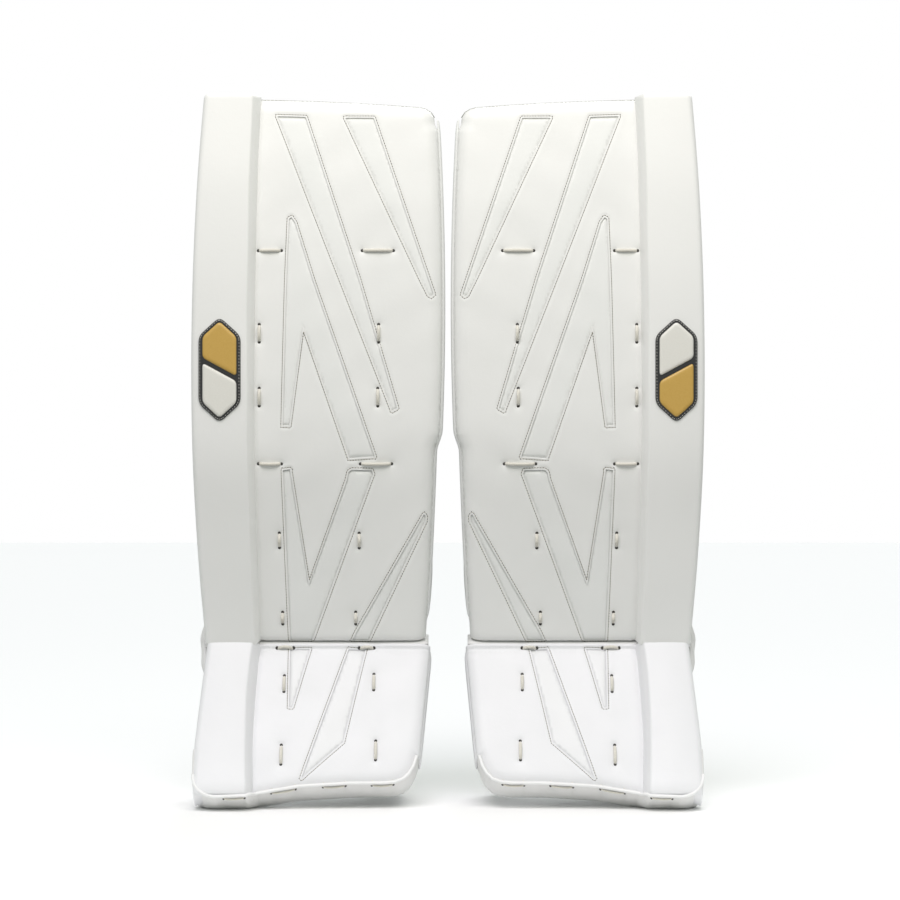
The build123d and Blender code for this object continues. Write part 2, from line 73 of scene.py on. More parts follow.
def on_shin(x, z, depth):
    """A point of the shin: its place at height z on the face, and then back along the face's normal.

    The face's leather and foam also stand a little proud across the knee break.
    """
    x, z, depth = np.broadcast_arrays(np.asarray(x, float), z, depth)
    depth = depth - knee_swell * np.exp(-(((z - knee_break_z) / 62) ** 2)) * np.clip(1 - depth / 30, 0, 1)
    radius = np.where(z > apex_z, thigh_radius, shin_radius)
    lean = np.arcsin((z - apex_z) / radius)
    y = apex_y + radius - (radius - depth) * np.cos(lean)
    return np.stack([x, y, apex_z + (radius - depth) * np.sin(lean)], -1)


def on_boot(x, s, depth):
    """A point of the boot: s down its face from the crease, and then back from the face."""
    x, s, depth = np.broadcast_arrays(np.asarray(x, float), s, depth)
    y = crease_y + depth * cos(boot_tilt) - s * sin(boot_tilt)
    return np.stack([x, y, break_z - s * cos(boot_tilt) - depth * sin(boot_tilt)], -1)


def bow(low, middle, high):
    """A gentle curve through three points, given as (along, value), as a function."""
    return np.poly1d(np.polyfit(*np.array([low, middle, high]).T, 2))


outer_x = bow((150, 266.0), (471, 280.4), (775, 268.5))
inner_upper = bow((410, 8.4), (575, 5.8), (767, 12.0))
inner_lower = bow((160, 26.0), (270, 19.5), (385, 14.8))
roll_rim_x = bow((175, 213.0), (520, 218.5), (785, 213.5))
roll_foot_x = bow((175, 209.5), (480, 213.0), (785, 207.0))


def inner_x(z):
    """The face's inner edge. It steps outward a little below the knee."""
    blend = np.clip((np.asarray(z, float) - 385) / 25, 0, 1)
    blend = blend * blend * (3 - 2 * blend)
    return inner_lower(z) * (1 - blend) + inner_upper(z) * blend


top_edge = [(216, 780), (205, 779.8), (150, 778.2), (102, 776), (60, 773.4), (40, 771.8)]
long_stripe = [(188, 758), (157, 757), (98, 578), (56, 436), (61, 433), (118, 578)]
short_stripe = [(113, 756), (82, 756), (20, 573), (16, 561), (18.5, 558.5), (21, 560), (30, 578)]
peak = [(174.5, 644), (172, 645.5), (168, 640), (148, 576), (80.5, 383), (108, 381), (159, 526),
        (174, 417), (181, 417), (177, 579)]
valley = [(181, 368), (173.5, 369), (154, 240), (111, 357), (109, 366), (106, 368.5), (84, 368), (82.5, 364),
          (85.5, 356), (150, 181), (151.5, 177.5), (175.3, 177.5)]
low_stripe = [(26.5, 319), (25, 317), (25.3, 311), (88, 179), (88.8, 177.5), (106.5, 177.5), (102, 187)]
shin_windows = [long_stripe, short_stripe, peak, valley, low_stripe]
shin_laces = [
    (195.5, 609, True, 25), (77, 609, True, 34), (207, 518, False, 19), (76, 518, False, 19),
    (207, 448, False, 19), (77, 448, False, 19), (195.5, 375, True, 25), (79, 375, True, 34),
    (186, 290, False, 16), (98, 290, False, 16), (183.5, 203, False, 13), (102.5, 203, False, 13),
]
window_step = 1.9
stitch_offset = 2.3
stitch_pitch = 3.0


def closed_line(points):
    """A line's points, with the first one repeated at the end."""
    return np.vstack([points, points[:1]])


def spaced(points, gap, closed=True):
    """Points along a line of straight runs, no further apart than gap, with every corner kept."""
    points = np.asarray(points, float)
    if closed:
        points = closed_line(points)
    out = []
    for a, b in zip(points[:-1], points[1:]):
        count = max(1, int(np.ceil(np.linalg.norm(b - a) / gap)))
        out.extend(a + (b - a) * k / count for k in range(count))
    if not closed:
        out.append(points[-1])
    return np.array(out)


def area(points):
    """The area in a closed line, positive where it runs anticlockwise."""
    x, y = np.asarray(points, float).T
    return 0.5 * float(np.sum(x * np.roll(y, -1) - np.roll(x, -1) * y))


def outside_line(points, offset):
    """A closed line that runs round a closed shape, offset away from it, with round outer corners."""
    points = np.asarray(points, float)
    if area(points) < 0:
        points = points[::-1]
    out = []
    count = len(points)
    for i in range(count):
        before = points[i] - points[i - 1]
        after = points[(i + 1) % count] - points[i]
        a = np.arctan2(-before[0], before[1])
        b = np.arctan2(-after[0], after[1])
        turn = (b - a + pi) % (2 * pi) - pi
        if turn > 0:
            steps = max(1, int(turn / 0.35))
            angles = a + turn * np.arange(steps + 1) / steps
            out.extend(points[i] + offset * np.stack([np.cos(angles), np.sin(angles)], -1))
        else:
            middle = a + turn / 2
            reach = offset / max(0.35, cos(turn / 2))
            out.append(points[i] + reach * np.array([cos(middle), sin(middle)]))
    return np.array(out)


def distance_to(points, line, closed=True):
    """How far each point is from a line of straight runs."""
    line = np.asarray(line, float)
    if closed:
        line = closed_line(line)
    best = np.full(len(points), 1e9)
    for a, b in zip(line[:-1], line[1:]):
        run = b - a
        t = np.clip((points - a) @ run / max(1e-9, run @ run), 0, 1)
        best = np.minimum(best, np.linalg.norm(points - a - t[:, None] * run, axis=1))
    return best


def inside(points, shape):
    """Which points lie in a closed shape."""
    shape = np.asarray(shape, float)
    x, y = points.T
    hit = np.zeros(len(points), bool)
    for a, b in zip(shape, np.roll(shape, -1, axis=0)):
        across = (a[1] > y) != (b[1] > y)
        with np.errstate(divide="ignore", invalid="ignore"):
            hit ^= across & (x < (b[0] - a[0]) * (y - a[1]) / (b[1] - a[1]) + a[0])
    return hit


def hump(distance, width):
    """A smooth bump of height one that fades over its width."""
    return np.exp(-((distance / width) ** 2))


def rounded_drop(distance, reach, drop):
    """How far a rounded edge has fallen away, at a distance in from its rim."""
    t = np.clip(1 - distance / reach, 0, 1)
    return drop * (1 - np.sqrt(np.clip(1 - t * t, 0, 1)))


def ripples(points, size, seed):
    """Faint unevenness of hand-stretched leather."""
    rng = np.random.default_rng(seed)
    total = np.zeros(len(points))
    for _ in range(9):
        length = rng.uniform(38, 130)
        angle = rng.uniform(0, pi)
        phase = rng.uniform(0, 2 * pi)
        total += np.sin((points[:, 0] * cos(angle) + points[:, 1] * sin(angle)) * 2 * pi / length + phase)
    return size * total / 3


def lace_ends(lace):
    """A lace's two holes, from its middle, whether it runs across, and its length."""
    x, z, across, length = lace
    half = length / 2
    step = np.array([half, 0.0]) if across else np.array([0.0, half])
    return np.array([x, z]) - step, np.array([x, z]) + step


def lace_dimples(points, laces):
    """The leather is drawn in at each lace's two holes, and a little along the lace between them."""
    total = np.zeros(len(points))
    for lace in laces:
        a, b = lace_ends(lace)
        along = distance_to(points, [a, b], closed=False)
        total += 0.45 * hump(along, 4.5)
        for end in (a, b):
            r = np.linalg.norm(points - end, axis=1)
            total += 0.9 * hump(r, 2.6) + 0.55 * hump(r, 10.0)
    return total


def seam_pull(points, windows):
    """The leather sinks under a row of stitches, and swells just beside it."""
    total = np.zeros(len(points))
    for window in windows:
        d = distance_to(points, window)
        d = np.where(inside(points, window), 0, d)
        total += 0.42 * hump(d - stitch_offset, 0.9) - 0.22 * hump(d - 5.2, 2.2)
    return total


def add_mesh(name, verts, faces, materials, body, slot, replaces, picks):
    """One smooth piece from points in millimetres, riding on its body. Picks gives each face's material."""
    mesh = bpy.data.meshes.new(name)
    mesh.from_pydata((np.asarray(verts) * 0.001).tolist(), [], [tuple(map(int, f)) for f in faces])
    for material in materials if isinstance(materials, (list, tuple)) else [materials]:
        mesh.materials.append(material)
    if picks is not None:
        mesh.polygons.foreach_set("material_index", np.asarray(picks, np.int32))
    mesh.polygons.foreach_set("use_smooth", np.full(len(mesh.polygons), True))
    mesh.validate()
    mesh.update()
    piece = bpy.data.objects.new(name, mesh)
    bpy.context.scene.collection.objects.link(piece)
    if body:
        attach(piece, body)
    if replaces:
        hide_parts(*replaces)
    return piece


def both_pads(name, verts, faces, materials, body, slot, replaces=(), picks=None, blend=None):
    """The left pad's piece as given, and its mirror image on the right pad. With a blend, the pieces ride on
    no body and are baked where they stand; the blend's body and its two points are not used.
    """
    mirrored = np.asarray(verts, float) * [-1, 1, 1]
    flipped = [tuple(f)[::-1] for f in faces]
    made = []
    for side, sign, points, polygons in (("left", 1, verts, faces), ("right", -1, mirrored, flipped)):
        nodes = [f"{side}_{node}" for node in replaces]
        title = f"{side}_{name}_cover" if f"{side}_{name}" in frame["nodes"] else f"{side}_{name}"
        rides_on = None if blend else f"{side}_{body}"
        piece = add_mesh(title, points, polygons, materials, rides_on, slot, nodes, picks)
        if blend:
            other, start, end = blend
            start, end = ((sign * float(p[0]), float(p[1]), float(p[2])) for p in (start, end))
            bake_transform(piece)
            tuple(start)
            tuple(end)
        made.append(piece)
    return made


def fans(loop_count, rows):
    """Quads between successive closed rows of points."""
    faces = []
    for r in range(rows - 1):
        a, b = r * loop_count, (r + 1) * loop_count
        for i in range(loop_count):
            j = (i + 1) % loop_count
            faces.append((a + i, a + j, b + j, b + i))
    return faces


def grid_over(shape, gap_x, gap_z):
    """A grid of points over a shape's whole box."""
    low, high = shape.min(0), shape.max(0)
    columns, rows = np.arange(low[0], high[0], gap_x), np.arange(low[1], high[1], gap_z)
    return np.stack(np.meshgrid(columns, rows), -1).reshape(-1, 2)


def triangulated(points, count):
    """Triangles over a shape whose rim is its first count points, as triples of the points' own numbers."""
    edges = [(i, (i + 1) % count) for i in range(count)]
    cdt = delaunay_2d_cdt([Vector(p) for p in points], edges, [], 1, 1e-5)
    return [tuple(cdt[3][v][0] for v in t) for t in cdt[2]]


def skin_solid(outline, windows, spots, drop, place, depth_back):
    """A covered board: its front follows drop, its windows are sunk pockets, its sides run to the back."""
    rim = spaced(outline, 3.0)
    loops = [rim] + [spaced(w, 2.2) for w in windows]
    spots = [np.asarray(s) for s in spots]
    for w in windows:
        for ring, step in ((0.7, 2.0), (stitch_offset, 1.5), (4.0, 2.6), (6.5, 4.0)):
            spots.append(spaced(outside_line(w, ring), step))
    spots.append(grid_over(rim, 5.5, 5.5))
    spots = np.vstack(spots)
    keep = inside(spots, rim) & (distance_to(spots, rim) > 0.25)
    for w in windows:
        keep &= (distance_to(spots, w) > 0.45)
    spots = spots[keep]
    points = np.vstack(loops + [spots])
    edges = []
    start = 0
    for loop in loops:
        edges += [(start + i, start + (i + 1) % len(loop)) for i in range(len(loop))]
        start += len(loop)
    cdt = delaunay_2d_cdt([Vector(p) for p in points], edges, [], 1, 1e-4)
    flat = np.array([tuple(v) for v in cdt[0]])
    triangles = np.array([tuple(t) for t in cdt[2]])
    place_of = {old: new for new, olds in enumerate(cdt[3]) for old in olds}
    chain = [place_of[i] for i in range(len(rim))]
    centres = flat[triangles].mean(1)
    sunk = np.zeros(len(triangles), bool)
    for w in windows:
        sunk |= inside(centres, w)
    depth = drop(flat)
    front = place(flat[:, 0], flat[:, 1], depth)
    low_points = place(flat[:, 0], flat[:, 1], depth + window_step)
    count = len(flat)
    faces = [tuple(t) for t in triangles[~sunk]] + [tuple(t + count) for t in triangles[sunk]]
    directed = {(t[i], t[i - 2]): True for t in triangles[sunk] for i in range(3)}
    for a, b in directed:
        if (b, a) not in directed:
            faces.append((a, a + count, b + count, b)[::-1])
    verts = [front, low_points]
    side_rows = [chain]
    total = 2 * count
    rim_points = flat[chain]
    rim_depth = depth[chain]
    for share in (0.25, 0.5, 0.75, 1.0):
        row = place(rim_points[:, 0], rim_points[:, 1], rim_depth + (depth_back - rim_depth) * share)
        verts.append(row)
        side_rows.append(list(range(total, total + len(chain))))
        total += len(chain)
    for near, far in zip(side_rows[:-1], side_rows[1:]):
        for i in range(len(chain)):
            j = (i + 1) % len(chain)
            faces.append((near[j], near[i], far[i], far[j]))
    last = side_rows[-1]
    for t in triangulated(rim_points, len(chain)):
        faces.append(tuple(last[v] for v in t)[::-1])
    return np.vstack(verts), faces


def set_inputs(node, values):
    for socket, value in values.items():
        node.inputs[socket.replace("_", " ")].default_value = value


def bsdf(name, colour, roughness, **sockets):
    """A material with its shader's own sockets set, its node tree and its shader."""
    material = bpy.data.materials.new(name)
    material.use_nodes = True
    shader = material.node_tree.nodes["Principled BSDF"]
    shader.inputs["Base Color"].default_value = (*colour, 1)
    set_inputs(shader, {"Roughness": roughness, **sockets})
    return material, material.node_tree, shader


def texture(tree, kind, **values):
    """A texture laid out in the piece's own space."""
    place = tree.nodes.new("ShaderNodeTexCoord")
    node = tree.nodes.new(kind)
    set_inputs(node, values)
    tree.links.new(place.outputs["Object"], node.inputs["Vector"])
    return node


def between(tree, factor, first, second):
    """A colour between two others, by a factor."""
    mix = tree.nodes.new("ShaderNodeMix")
    mix.data_type = "RGBA"
    mix.inputs[6].default_value = (*first, 1)
    mix.inputs[7].default_value = (*second, 1)
    tree.links.new(factor, mix.inputs["Factor"])
    return mix.outputs[2]


def relief(tree, height, strength, distance):
    """A bump node over a height."""
    bump = tree.nodes.new("ShaderNodeBump")
    set_inputs(bump, {"Strength": strength, "Distance": distance})
    tree.links.new(height, bump.inputs["Height"])
    return bump


def uneven_gloss(tree, shader, cloud, low, high):
    """Roughness between two values, as a cloudy texture goes."""
    gloss = tree.nodes.new("ShaderNodeMapRange")
    set_inputs(gloss, {"To_Min": low, "To_Max": high})
    tree.links.new(cloud.outputs["Fac"], gloss.inputs["Value"])
    tree.links.new(gloss.outputs["Result"], shader.inputs["Roughness"])


def leather(name, colour, stain, roughness=0.42, grain=0.06, scale=900.0):
    """Synthetic leather: a fine pebble, faint creases, uneven colour, and scuffs that dull the gloss."""
    material, tree, shader = bsdf(name, colour, roughness, Specular_IOR_Level=0.45, Coat_Weight=0.06,
                                  Coat_Roughness=0.35, Sheen_Weight=0.08, Sheen_Roughness=0.4)
    patches = texture(tree, "ShaderNodeTexNoise", Scale=9.0, Detail=3.0)
    tree.links.new(between(tree, patches.outputs["Fac"], colour, stain), shader.inputs["Base Color"])
    scuffs = texture(tree, "ShaderNodeTexNoise", Scale=34.0, Detail=6.0)
    uneven_gloss(tree, shader, scuffs, roughness - 0.07, roughness + 0.13)
    pebble = texture(tree, "ShaderNodeTexVoronoi", Scale=scale)
    creases = texture(tree, "ShaderNodeTexNoise", Scale=150.0, Detail=8.0, Distortion=0.6)
    fine = relief(tree, pebble.outputs["Distance"], grain * 2, 0.0002)
    coarse = relief(tree, creases.outputs["Fac"], grain * 3, 0.0006)
    tree.links.new(fine.outputs["Normal"], coarse.inputs["Normal"])
    tree.links.new(coarse.outputs["Normal"], shader.inputs["Normal"])
    return material


white_leather = leather("white_leather", (0.86, 0.86, 0.845), (0.82, 0.825, 0.81))
top_corner = [(31.0, 771.2), (24.5, 769.4), (18.8, 765.8), (15.2, 760.0), (14.2, 752.0)]
shin_foot = 176


def shin_outline():
    """The shin's face from the roll's foot round its top and inner edge to the crease."""
    heights = np.linspace(shin_foot, 778, 60)
    outer = np.stack([roll_foot_x(heights) + 2.5, heights], -1)
    falling = np.linspace(744, shin_foot, 70)
    inner = np.stack([inner_x(falling), falling], -1)
    return np.vstack([outer, [(roll_foot_x(779) + 2.5, 779.9)], top_edge[1:], top_corner, inner])


def round_holes(laces, radii):
    """Rings of points round each lace's holes, close enough to shape the dimples."""
    rings = []
    for end in (end for lace in laces for end in lace_ends(lace)):
        for r in radii:
            angles = np.arange(0, 2 * pi, (1.9 if r < 4 else 2.6) / r)
            rings.append(end + r * np.stack([np.cos(angles), np.sin(angles)], -1))
    return rings


shin_rim = shin_outline()
free_rim = shin_rim[60:]
rim_insets = (0.5, 1.2, 2.2, 3.6, 5.4, 7.8, 11.0, 14.5)
shin_spots = [spaced(outside_line(shin_rim[::-1], -inset), 4.5) for inset in rim_insets]
shin_spots += round_holes(shin_laces, (1.4, 2.8, 4.4, 6.5, 9.0, 12.5))


def shin_drop(points):
    """How deep the face lies at each point, from its plain curved surface."""
    width = (points[:, 0] - 110) / 105
    depth = 0.9 * width ** 2 + ripples(points, 0.28, 3)
    depth += rounded_drop(distance_to(points, free_rim, closed=False), 17, 14)
    depth += rounded_drop(points[:, 1] - shin_foot, 9, 5.5)
    depth += 1.3 * hump(points[:, 0] - roll_foot_x(points[:, 1]), 3.2)
    depth += lace_dimples(points, shin_laces) + seam_pull(points, shin_windows)
    return depth


shin_skin = skin_solid(shin_rim, shin_windows, shin_spots, shin_drop, on_shin, board - 1.2)
both_pads("face_skin", *shin_skin, white_leather, "shin", "white_leather", ["face_skin", "shin_core"])

# ---------------------------------------------------------------- the inlaid panels
# Flat shapes of the same leather, laid under the skin's windows and held by one row of stitches around each.
# They lie a millimetre and more below the skin, slightly puffed by the foam behind them.
panel_depth = 1.0
inlay_leather = leather("inlay_leather", (0.85, 0.855, 0.84), (0.81, 0.82, 0.805), roughness=0.38)


def panel_solid(shape, drop, place):
    """One inlay: a thin closed sheet with a soft crown, its rim tucked down against the skin's edge."""
    rim = spaced(shape, 2.6)
    grid = grid_over(rim, 2.6, 5.0)
    grid = grid[inside(grid, rim) & (distance_to(grid, rim) > 0.9)]
    points = np.vstack([rim, grid])
    count = len(rim)
    triangles = triangulated(points, count)
    edge = distance_to(points, rim)
    depth = drop(points) + panel_depth + 0.5 * hump(edge, 1.4)
    front = place(points[:, 0], points[:, 1], depth)
    back = place(points[:, 0], points[:, 1], drop(points) + window_step + 0.3)
    total = len(points)
    faces = list(triangles) + [tuple(v + total for v in t)[::-1] for t in triangles]
    turned = area(rim) < 0
    for i in range(count):
        j = (i + 1) % count
        quad = (i, i + total, j + total, j)
        faces.append(quad[::-1] if turned else quad)
    return np.vstack([front, back]), faces


def gathered(pieces):
    """Several closed meshes as one list of points and faces."""
    verts, faces, start = [], [], 0
    for points, polygons in pieces:
        verts.append(np.asarray(points, float))
        faces += [tuple(v + start for v in f) for f in polygons]
        start += len(points)
    return np.vstack(verts), faces


shin_panels = gathered([panel_solid(w, shin_drop, on_shin) for w in shin_windows])
both_pads("face_panels", *shin_panels, inlay_leather, "shin", "inlay_leather", ["face_panels"])

# ---------------------------------------------------------------- the outer roll
# A foam bar down the pad's outer edge in its own leather cover, which stands proud of the face and turns
# round the pad's side to its back. It's cut in two at the ankle, and each end is closed by a small cap.
roll_proud = 16.0


def roll_section(foot, rim, outer, proud, back, squeeze):
    """The roll's cross section: up its sloped inner wall, over its soft front, and down the pad's side."""
    proud = proud - squeeze
    rim = rim + squeeze * 0.6
    outer = outer - squeeze * 0.7
    points = [(foot - 1.0, 3.0), (foot, 0.4), (foot + 0.25 * (rim - foot), -0.28 * proud),
              (foot + 0.72 * (rim - foot), -0.76 * proud)]
    for a in np.linspace(0.15, 1.0, 5):
        points.append((rim + 3.2 - 3.2 * cos(a * pi / 2), -proud + 2.4 - 2.4 * sin(a * pi / 2)))
    for t in np.linspace(0.08, 0.92, 14):
        points.append((rim + 3.2 + t * (outer - 6.5 - rim - 3.2), -proud - 1.1 * sin(pi * t)))
    for a in np.linspace(0, 1.0, 7):
        points.append((outer - 6.5 + 6.5 * sin(a * pi / 2), -proud + 6.0 - 6.0 * cos(a * pi / 2)))
    for t in np.linspace(0.12, 0.88, 8):
        points.append((outer + 0.9 * sin(pi * t), -proud + 6.0 + t * (back + proud - 8.0)))
    points += [(outer - 0.4, back - 1.2), (outer - 2.2, back - 0.1), (foot + 12, back - 0.1),
               (foot + 2, back - 2.5)]
    return np.array(points)


def lofted(rows, place):
    """A closed piece from equal cross sections: rows holds (x, along, depth) for each, ends are capped."""
    loop_count = len(rows[0])
    verts = [place(row[:, 0], row[:, 1], row[:, 2]) for row in rows]
    faces = fans(loop_count, len(rows))
    total = loop_count * len(rows)
    for row, points, first in ((0, verts[0], True), (len(rows) - 1, verts[-1], False)):
        verts.append(points.mean(0)[None])
        for i in range(loop_count):
            a, b = row * loop_count + i, row * loop_count + (i + 1) % loop_count
            faces.append((total, b, a) if first else (total, a, b))
        total += 1
    return np.vstack(verts), faces


def end_squeeze(distance, reach=5.0):
    """How much a section shrinks near a closed, rounded end."""
    return rounded_drop(np.array([distance]), reach, 4.2)[0]


def roll_rows(heights, foot_x, rim_x, out_x, low, high, back, proud, bottom_lift, seed, soft_foot=0.0):
    """The roll's cross sections along its length, with its ends leaning back as the break needs."""
    wander = np.random.default_rng(seed).uniform(0, 2 * pi, 4)
    rows = []
    for h in heights:
        squeeze = end_squeeze(h - low, 5.0 + 9.0 * soft_foot) + end_squeeze(high - h)
        unevenness = 0.35 * sin(h / 31 + wander[0]) + 0.25 * sin(h / 17 + wander[1])
        section = roll_section(float(foot_x(h)), float(rim_x(h)) + 0.3 * sin(h / 23 + wander[2]),
                               float(out_x(h)), proud + unevenness * 0.6, back, squeeze)
        lift = bottom_lift * np.clip(1 - (h - low) / 40, 0, 1)
        along = h + lift * section[:, 1] / board
        rows.append(np.stack([section[:, 0], along, section[:, 1]], -1))
    return rows


def close_spaced(low, high, gap):
    """Stations along a length, drawn together at its two ends."""
    ends = np.array([0, 0.25, 0.8, 1.6, 2.7, 4.0, 5.6])
    return np.concatenate([low + ends, np.arange(low + 5.6 + gap, high - 5.6, gap), (high - ends)[::-1]])


roll_low, roll_top = 177.0, pad_height - 0.2
shin_roll_rows = roll_rows(close_spaced(roll_low, roll_top, 5.0), roll_foot_x, roll_rim_x, outer_x,
                           roll_low, roll_top, board, roll_proud, 3.0, 5)
both_pads("roll_cover", *lofted(shin_roll_rows, on_shin), white_leather, "shin", "white_leather",
          ["roll_cover", "roll_foam"])

# ---------------------------------------------------------------- the side badge
# A moulded six-sided badge, sewn to the roll beside the knee: a black base with a bevelled rim, and two
# domed fields, one gold and one pearl white, parted by a slanting bar of the base. It carries no mark.
badge_x, badge_z = 249.0, 478.0
badge_width, badge_height, badge_rim = 46.0, 114.0, 4.5
badge_seat, badge_plate = -16.6, 2.4
badge_top = badge_seat - badge_plate


def rounded(corners, radius, steps=6):
    """A closed outline with its corners rounded."""
    corners = np.asarray(corners, float)
    out = []
    for i, corner in enumerate(corners):
        to_last = corners[i - 1] - corner
        to_next = corners[(i + 1) % len(corners)] - corner
        to_last, last_length = to_last / np.linalg.norm(to_last), np.linalg.norm(to_last)
        to_next, next_length = to_next / np.linalg.norm(to_next), np.linalg.norm(to_next)
        cut = min(radius, 0.45 * last_length, 0.45 * next_length)
        a, b = corner + to_last * cut, corner + to_next * cut
        for t in np.linspace(0, 1, steps):
            out.append((1 - t) ** 2 * a + 2 * t * (1 - t) * corner + t * t * b)
    return np.array(out)


def raised_patch(shape, place, seat, rise, edge, gap=2.5, rings=(0.4, 1.0, 1.8, 3.0), follow=None):
    """A closed patch on a surface: rounded over its edge's width, with its middle rise above its seat."""
    rim = spaced(shape, gap * 0.8)
    if area(rim) < 0:
        rim = rim[::-1]
    spots = [spaced(outside_line(rim, -ring * edge / 2.2), gap * 0.8) for ring in rings]
    spots = np.vstack(spots + [grid_over(rim, gap, gap)])
    spots = spots[inside(spots, rim) & (distance_to(spots, rim) > 0.15)]
    points = np.vstack([rim, spots])
    count = len(rim)
    triangles = triangulated(points, count)
    base = seat if follow is None else follow(points) + seat
    height = rise - rounded_drop(distance_to(points, rim), edge, rise * 0.96)
    front = place(points[:, 0], points[:, 1], base - height)
    back = place(points[:, 0], points[:, 1], base + 0.3)
    total = len(points)
    faces = list(triangles) + [tuple(v + total for v in t)[::-1] for t in triangles]
    for i in range(count):
        j = (i + 1) % count
        faces.append((j, i, i + total, j + total))
    return np.vstack([front, back]), faces


def lozenge(width, height):
    """A long six-sided outline about the origin."""
    shoulder = height / 2 - width * 0.45
    return np.array([(0, height / 2), (-width / 2, shoulder), (-width / 2, -shoulder), (0, -height / 2),
                     (width / 2, -shoulder), (width / 2, shoulder)])


def moulded(name, colour, second, roughness, scale, bump):
    """Moulded or coated plastic: cloudy colour, and a fine orange peel or flake."""
    material, tree, shader = bsdf(name, colour, roughness, Coat_Weight=0.25, Coat_Roughness=0.2)
    cloud = texture(tree, "ShaderNodeTexNoise", Scale=scale, Detail=5.0)
    tree.links.new(between(tree, cloud.outputs["Fac"], colour, second), shader.inputs["Base Color"])
    peel = relief(tree, cloud.outputs["Fac"], bump, 0.0003)
    tree.links.new(peel.outputs["Normal"], shader.inputs["Normal"])
    return material


black_base = moulded("badge_base", (0.012, 0.012, 0.013), (0.03, 0.03, 0.032), 0.38, 600, 0.25)
gold_field = moulded("badge_gold", (0.53, 0.32, 0.06), (0.62, 0.40, 0.10), 0.33, 900, 0.35)
pearl_field = moulded("badge_pearl", (0.80, 0.79, 0.74), (0.72, 0.71, 0.66), 0.36, 700, 0.25)
badge_centre = np.array([badge_x, badge_z])
bar_lean = radians(28)
bar_half = 2.4
bar_up = np.array([-sin(bar_lean), cos(bar_lean)])
inner_lozenge = lozenge(badge_width - 2 * badge_rim, badge_height - 2.3 * badge_rim)


def cut_by_bar(corners, side):
    """The part of an outline that lies on one side of the slanting bar."""
    out = []
    for a, b in zip(corners, np.roll(corners, -1, axis=0)):
        da, db = side * (a @ bar_up) - bar_half, side * (b @ bar_up) - bar_half
        if da > 0:
            out.append(a)
        if (da > 0) != (db > 0):
            out.append(a + (b - a) * da / (da - db))
    return np.array(out)


base_outline = rounded(lozenge(badge_width, badge_height), 7) + badge_centre
base_patch = raised_patch(base_outline, on_shin, badge_seat, badge_plate, 1.6, 2.2)
both_pads("badge_plate", *base_patch, black_base, "shin", "badge_base", ["badge_plate"])


def in_two_finishes(first, second):
    """Two groups of closed meshes as one piece, with the finish that each face takes."""
    first, second = gathered(first), gathered(second)
    return *gathered([first, second]), [0] * len(first[1]) + [1] * len(second[1])


field_shapes = [rounded(cut_by_bar(inner_lozenge, side), 4.5) + badge_centre for side in (1, -1)]
field_patches = [raised_patch(shape, on_shin, badge_top, 1.7, 4.0, 1.5) for shape in field_shapes]
verts, faces, picks = in_two_finishes(field_patches[:1], field_patches[1:])
field_pair = both_pads("badge_fields", verts, faces, [pearl_field, gold_field], "shin", "badge_field",
                       ["badge_fields"], picks)
# The right pad's badge has its gold field above.
field_pair[1].data.materials.clear()
for finish in (gold_field, pearl_field):
    field_pair[1].data.materials.append(finish)
field_pair[1].data.polygons.foreach_set("material_index", np.asarray(picks, np.int32))

# ---------------------------------------------------------------- the face laces
# Round waxed laces that pull the liner pads to the board. Each shows as one short bar between two punched
# holes on the face, runs through the pad, and is knotted behind it.
lace_radius = 1.8
hole_radius = 1.75


def tube(path, radius, sides=8):
    """A round cord along a path, closed at both ends. The radius may be one value or one per point."""
    path = np.asarray(path, float)
    radius = np.broadcast_to(radius, len(path))
    along = np.gradient(path, axis=0)
    along /= np.linalg.norm(along, axis=1)[:, None]
    side = np.cross(along[0], (0.31, 0.52, 0.79))
    rows = []
    angles = np.linspace(0, 2 * pi, sides, endpoint=False)
    for centre, way, r in zip(path, along, radius):
        side = side - way * (side @ way)
        side /= np.linalg.norm(side)
        up = np.cross(way, side)
        rows.append(centre + r * (np.cos(angles)[:, None] * side + np.sin(angles)[:, None] * up))
    verts = np.vstack(rows + [path[:1], path[-1:]])
    faces = fans(sides, len(path))
    total = sides * len(path)
    for i in range(sides):
        j = (i + 1) % sides
        faces.append((total, j, i))
        faces.append((total + 1, total - sides + i, total - sides + j))
    return verts, faces


def knot_path(centre, across, up, size):
    """An overhand knot drawn up small, in the plane of its two directions."""
    t = np.linspace(0.35, 2 * pi - 0.1, 30)[:, None]
    out = np.cross(across, up)
    ring = (2 + np.cos(3 * t)) * size / 3
    flat = centre + ring * np.cos(2 * t) * across + ring * np.sin(2 * t) * up
    return flat + 0.45 * size * np.sin(3 * t) * out


def lace_path(lace, place, drop, rear):
    """From behind the pad, up through one hole, over the face in a low arch, and back through the other."""
    a, b = lace_ends(lace)
    inset = lace_radius / np.linalg.norm(b - a)
    shares = np.array([inset, inset, inset, inset * 1.15, inset * 1.7, inset * 2.8, 0.3, 0.5, 0.7,
                       1 - inset * 2.8, 1 - inset * 1.7, 1 - inset * 1.15, 1 - inset, 1 - inset, 1 - inset])
    plan = a + (b - a) * shares[:, None]
    depth = drop(plan)
    depth[[0, -1]] = rear
    depth[[1, -2]] = rear * 0.5
    depth += np.array([0, 0, 2.5, 0.4, -1.1, -1.75, -2.2, -2.5, -2.2, -1.75, -1.1, 0.4, 2.5, 0, 0])
    return place(plan[:, 0], plan[:, 1], depth)


def hole_mark(centre, place, drop):
    """The punched hole beside a lace, as a slightly sunk disc in painted shade for the hole's dark inside."""
    ring = np.linspace(0, 2 * pi, 12, endpoint=False)
    outline = centre + hole_radius * np.stack([np.cos(ring), np.sin(ring)], -1)
    return raised_patch(outline, place, -0.15, 0.35, 0.6, gap=1.2, rings=(0.5,), follow=drop)


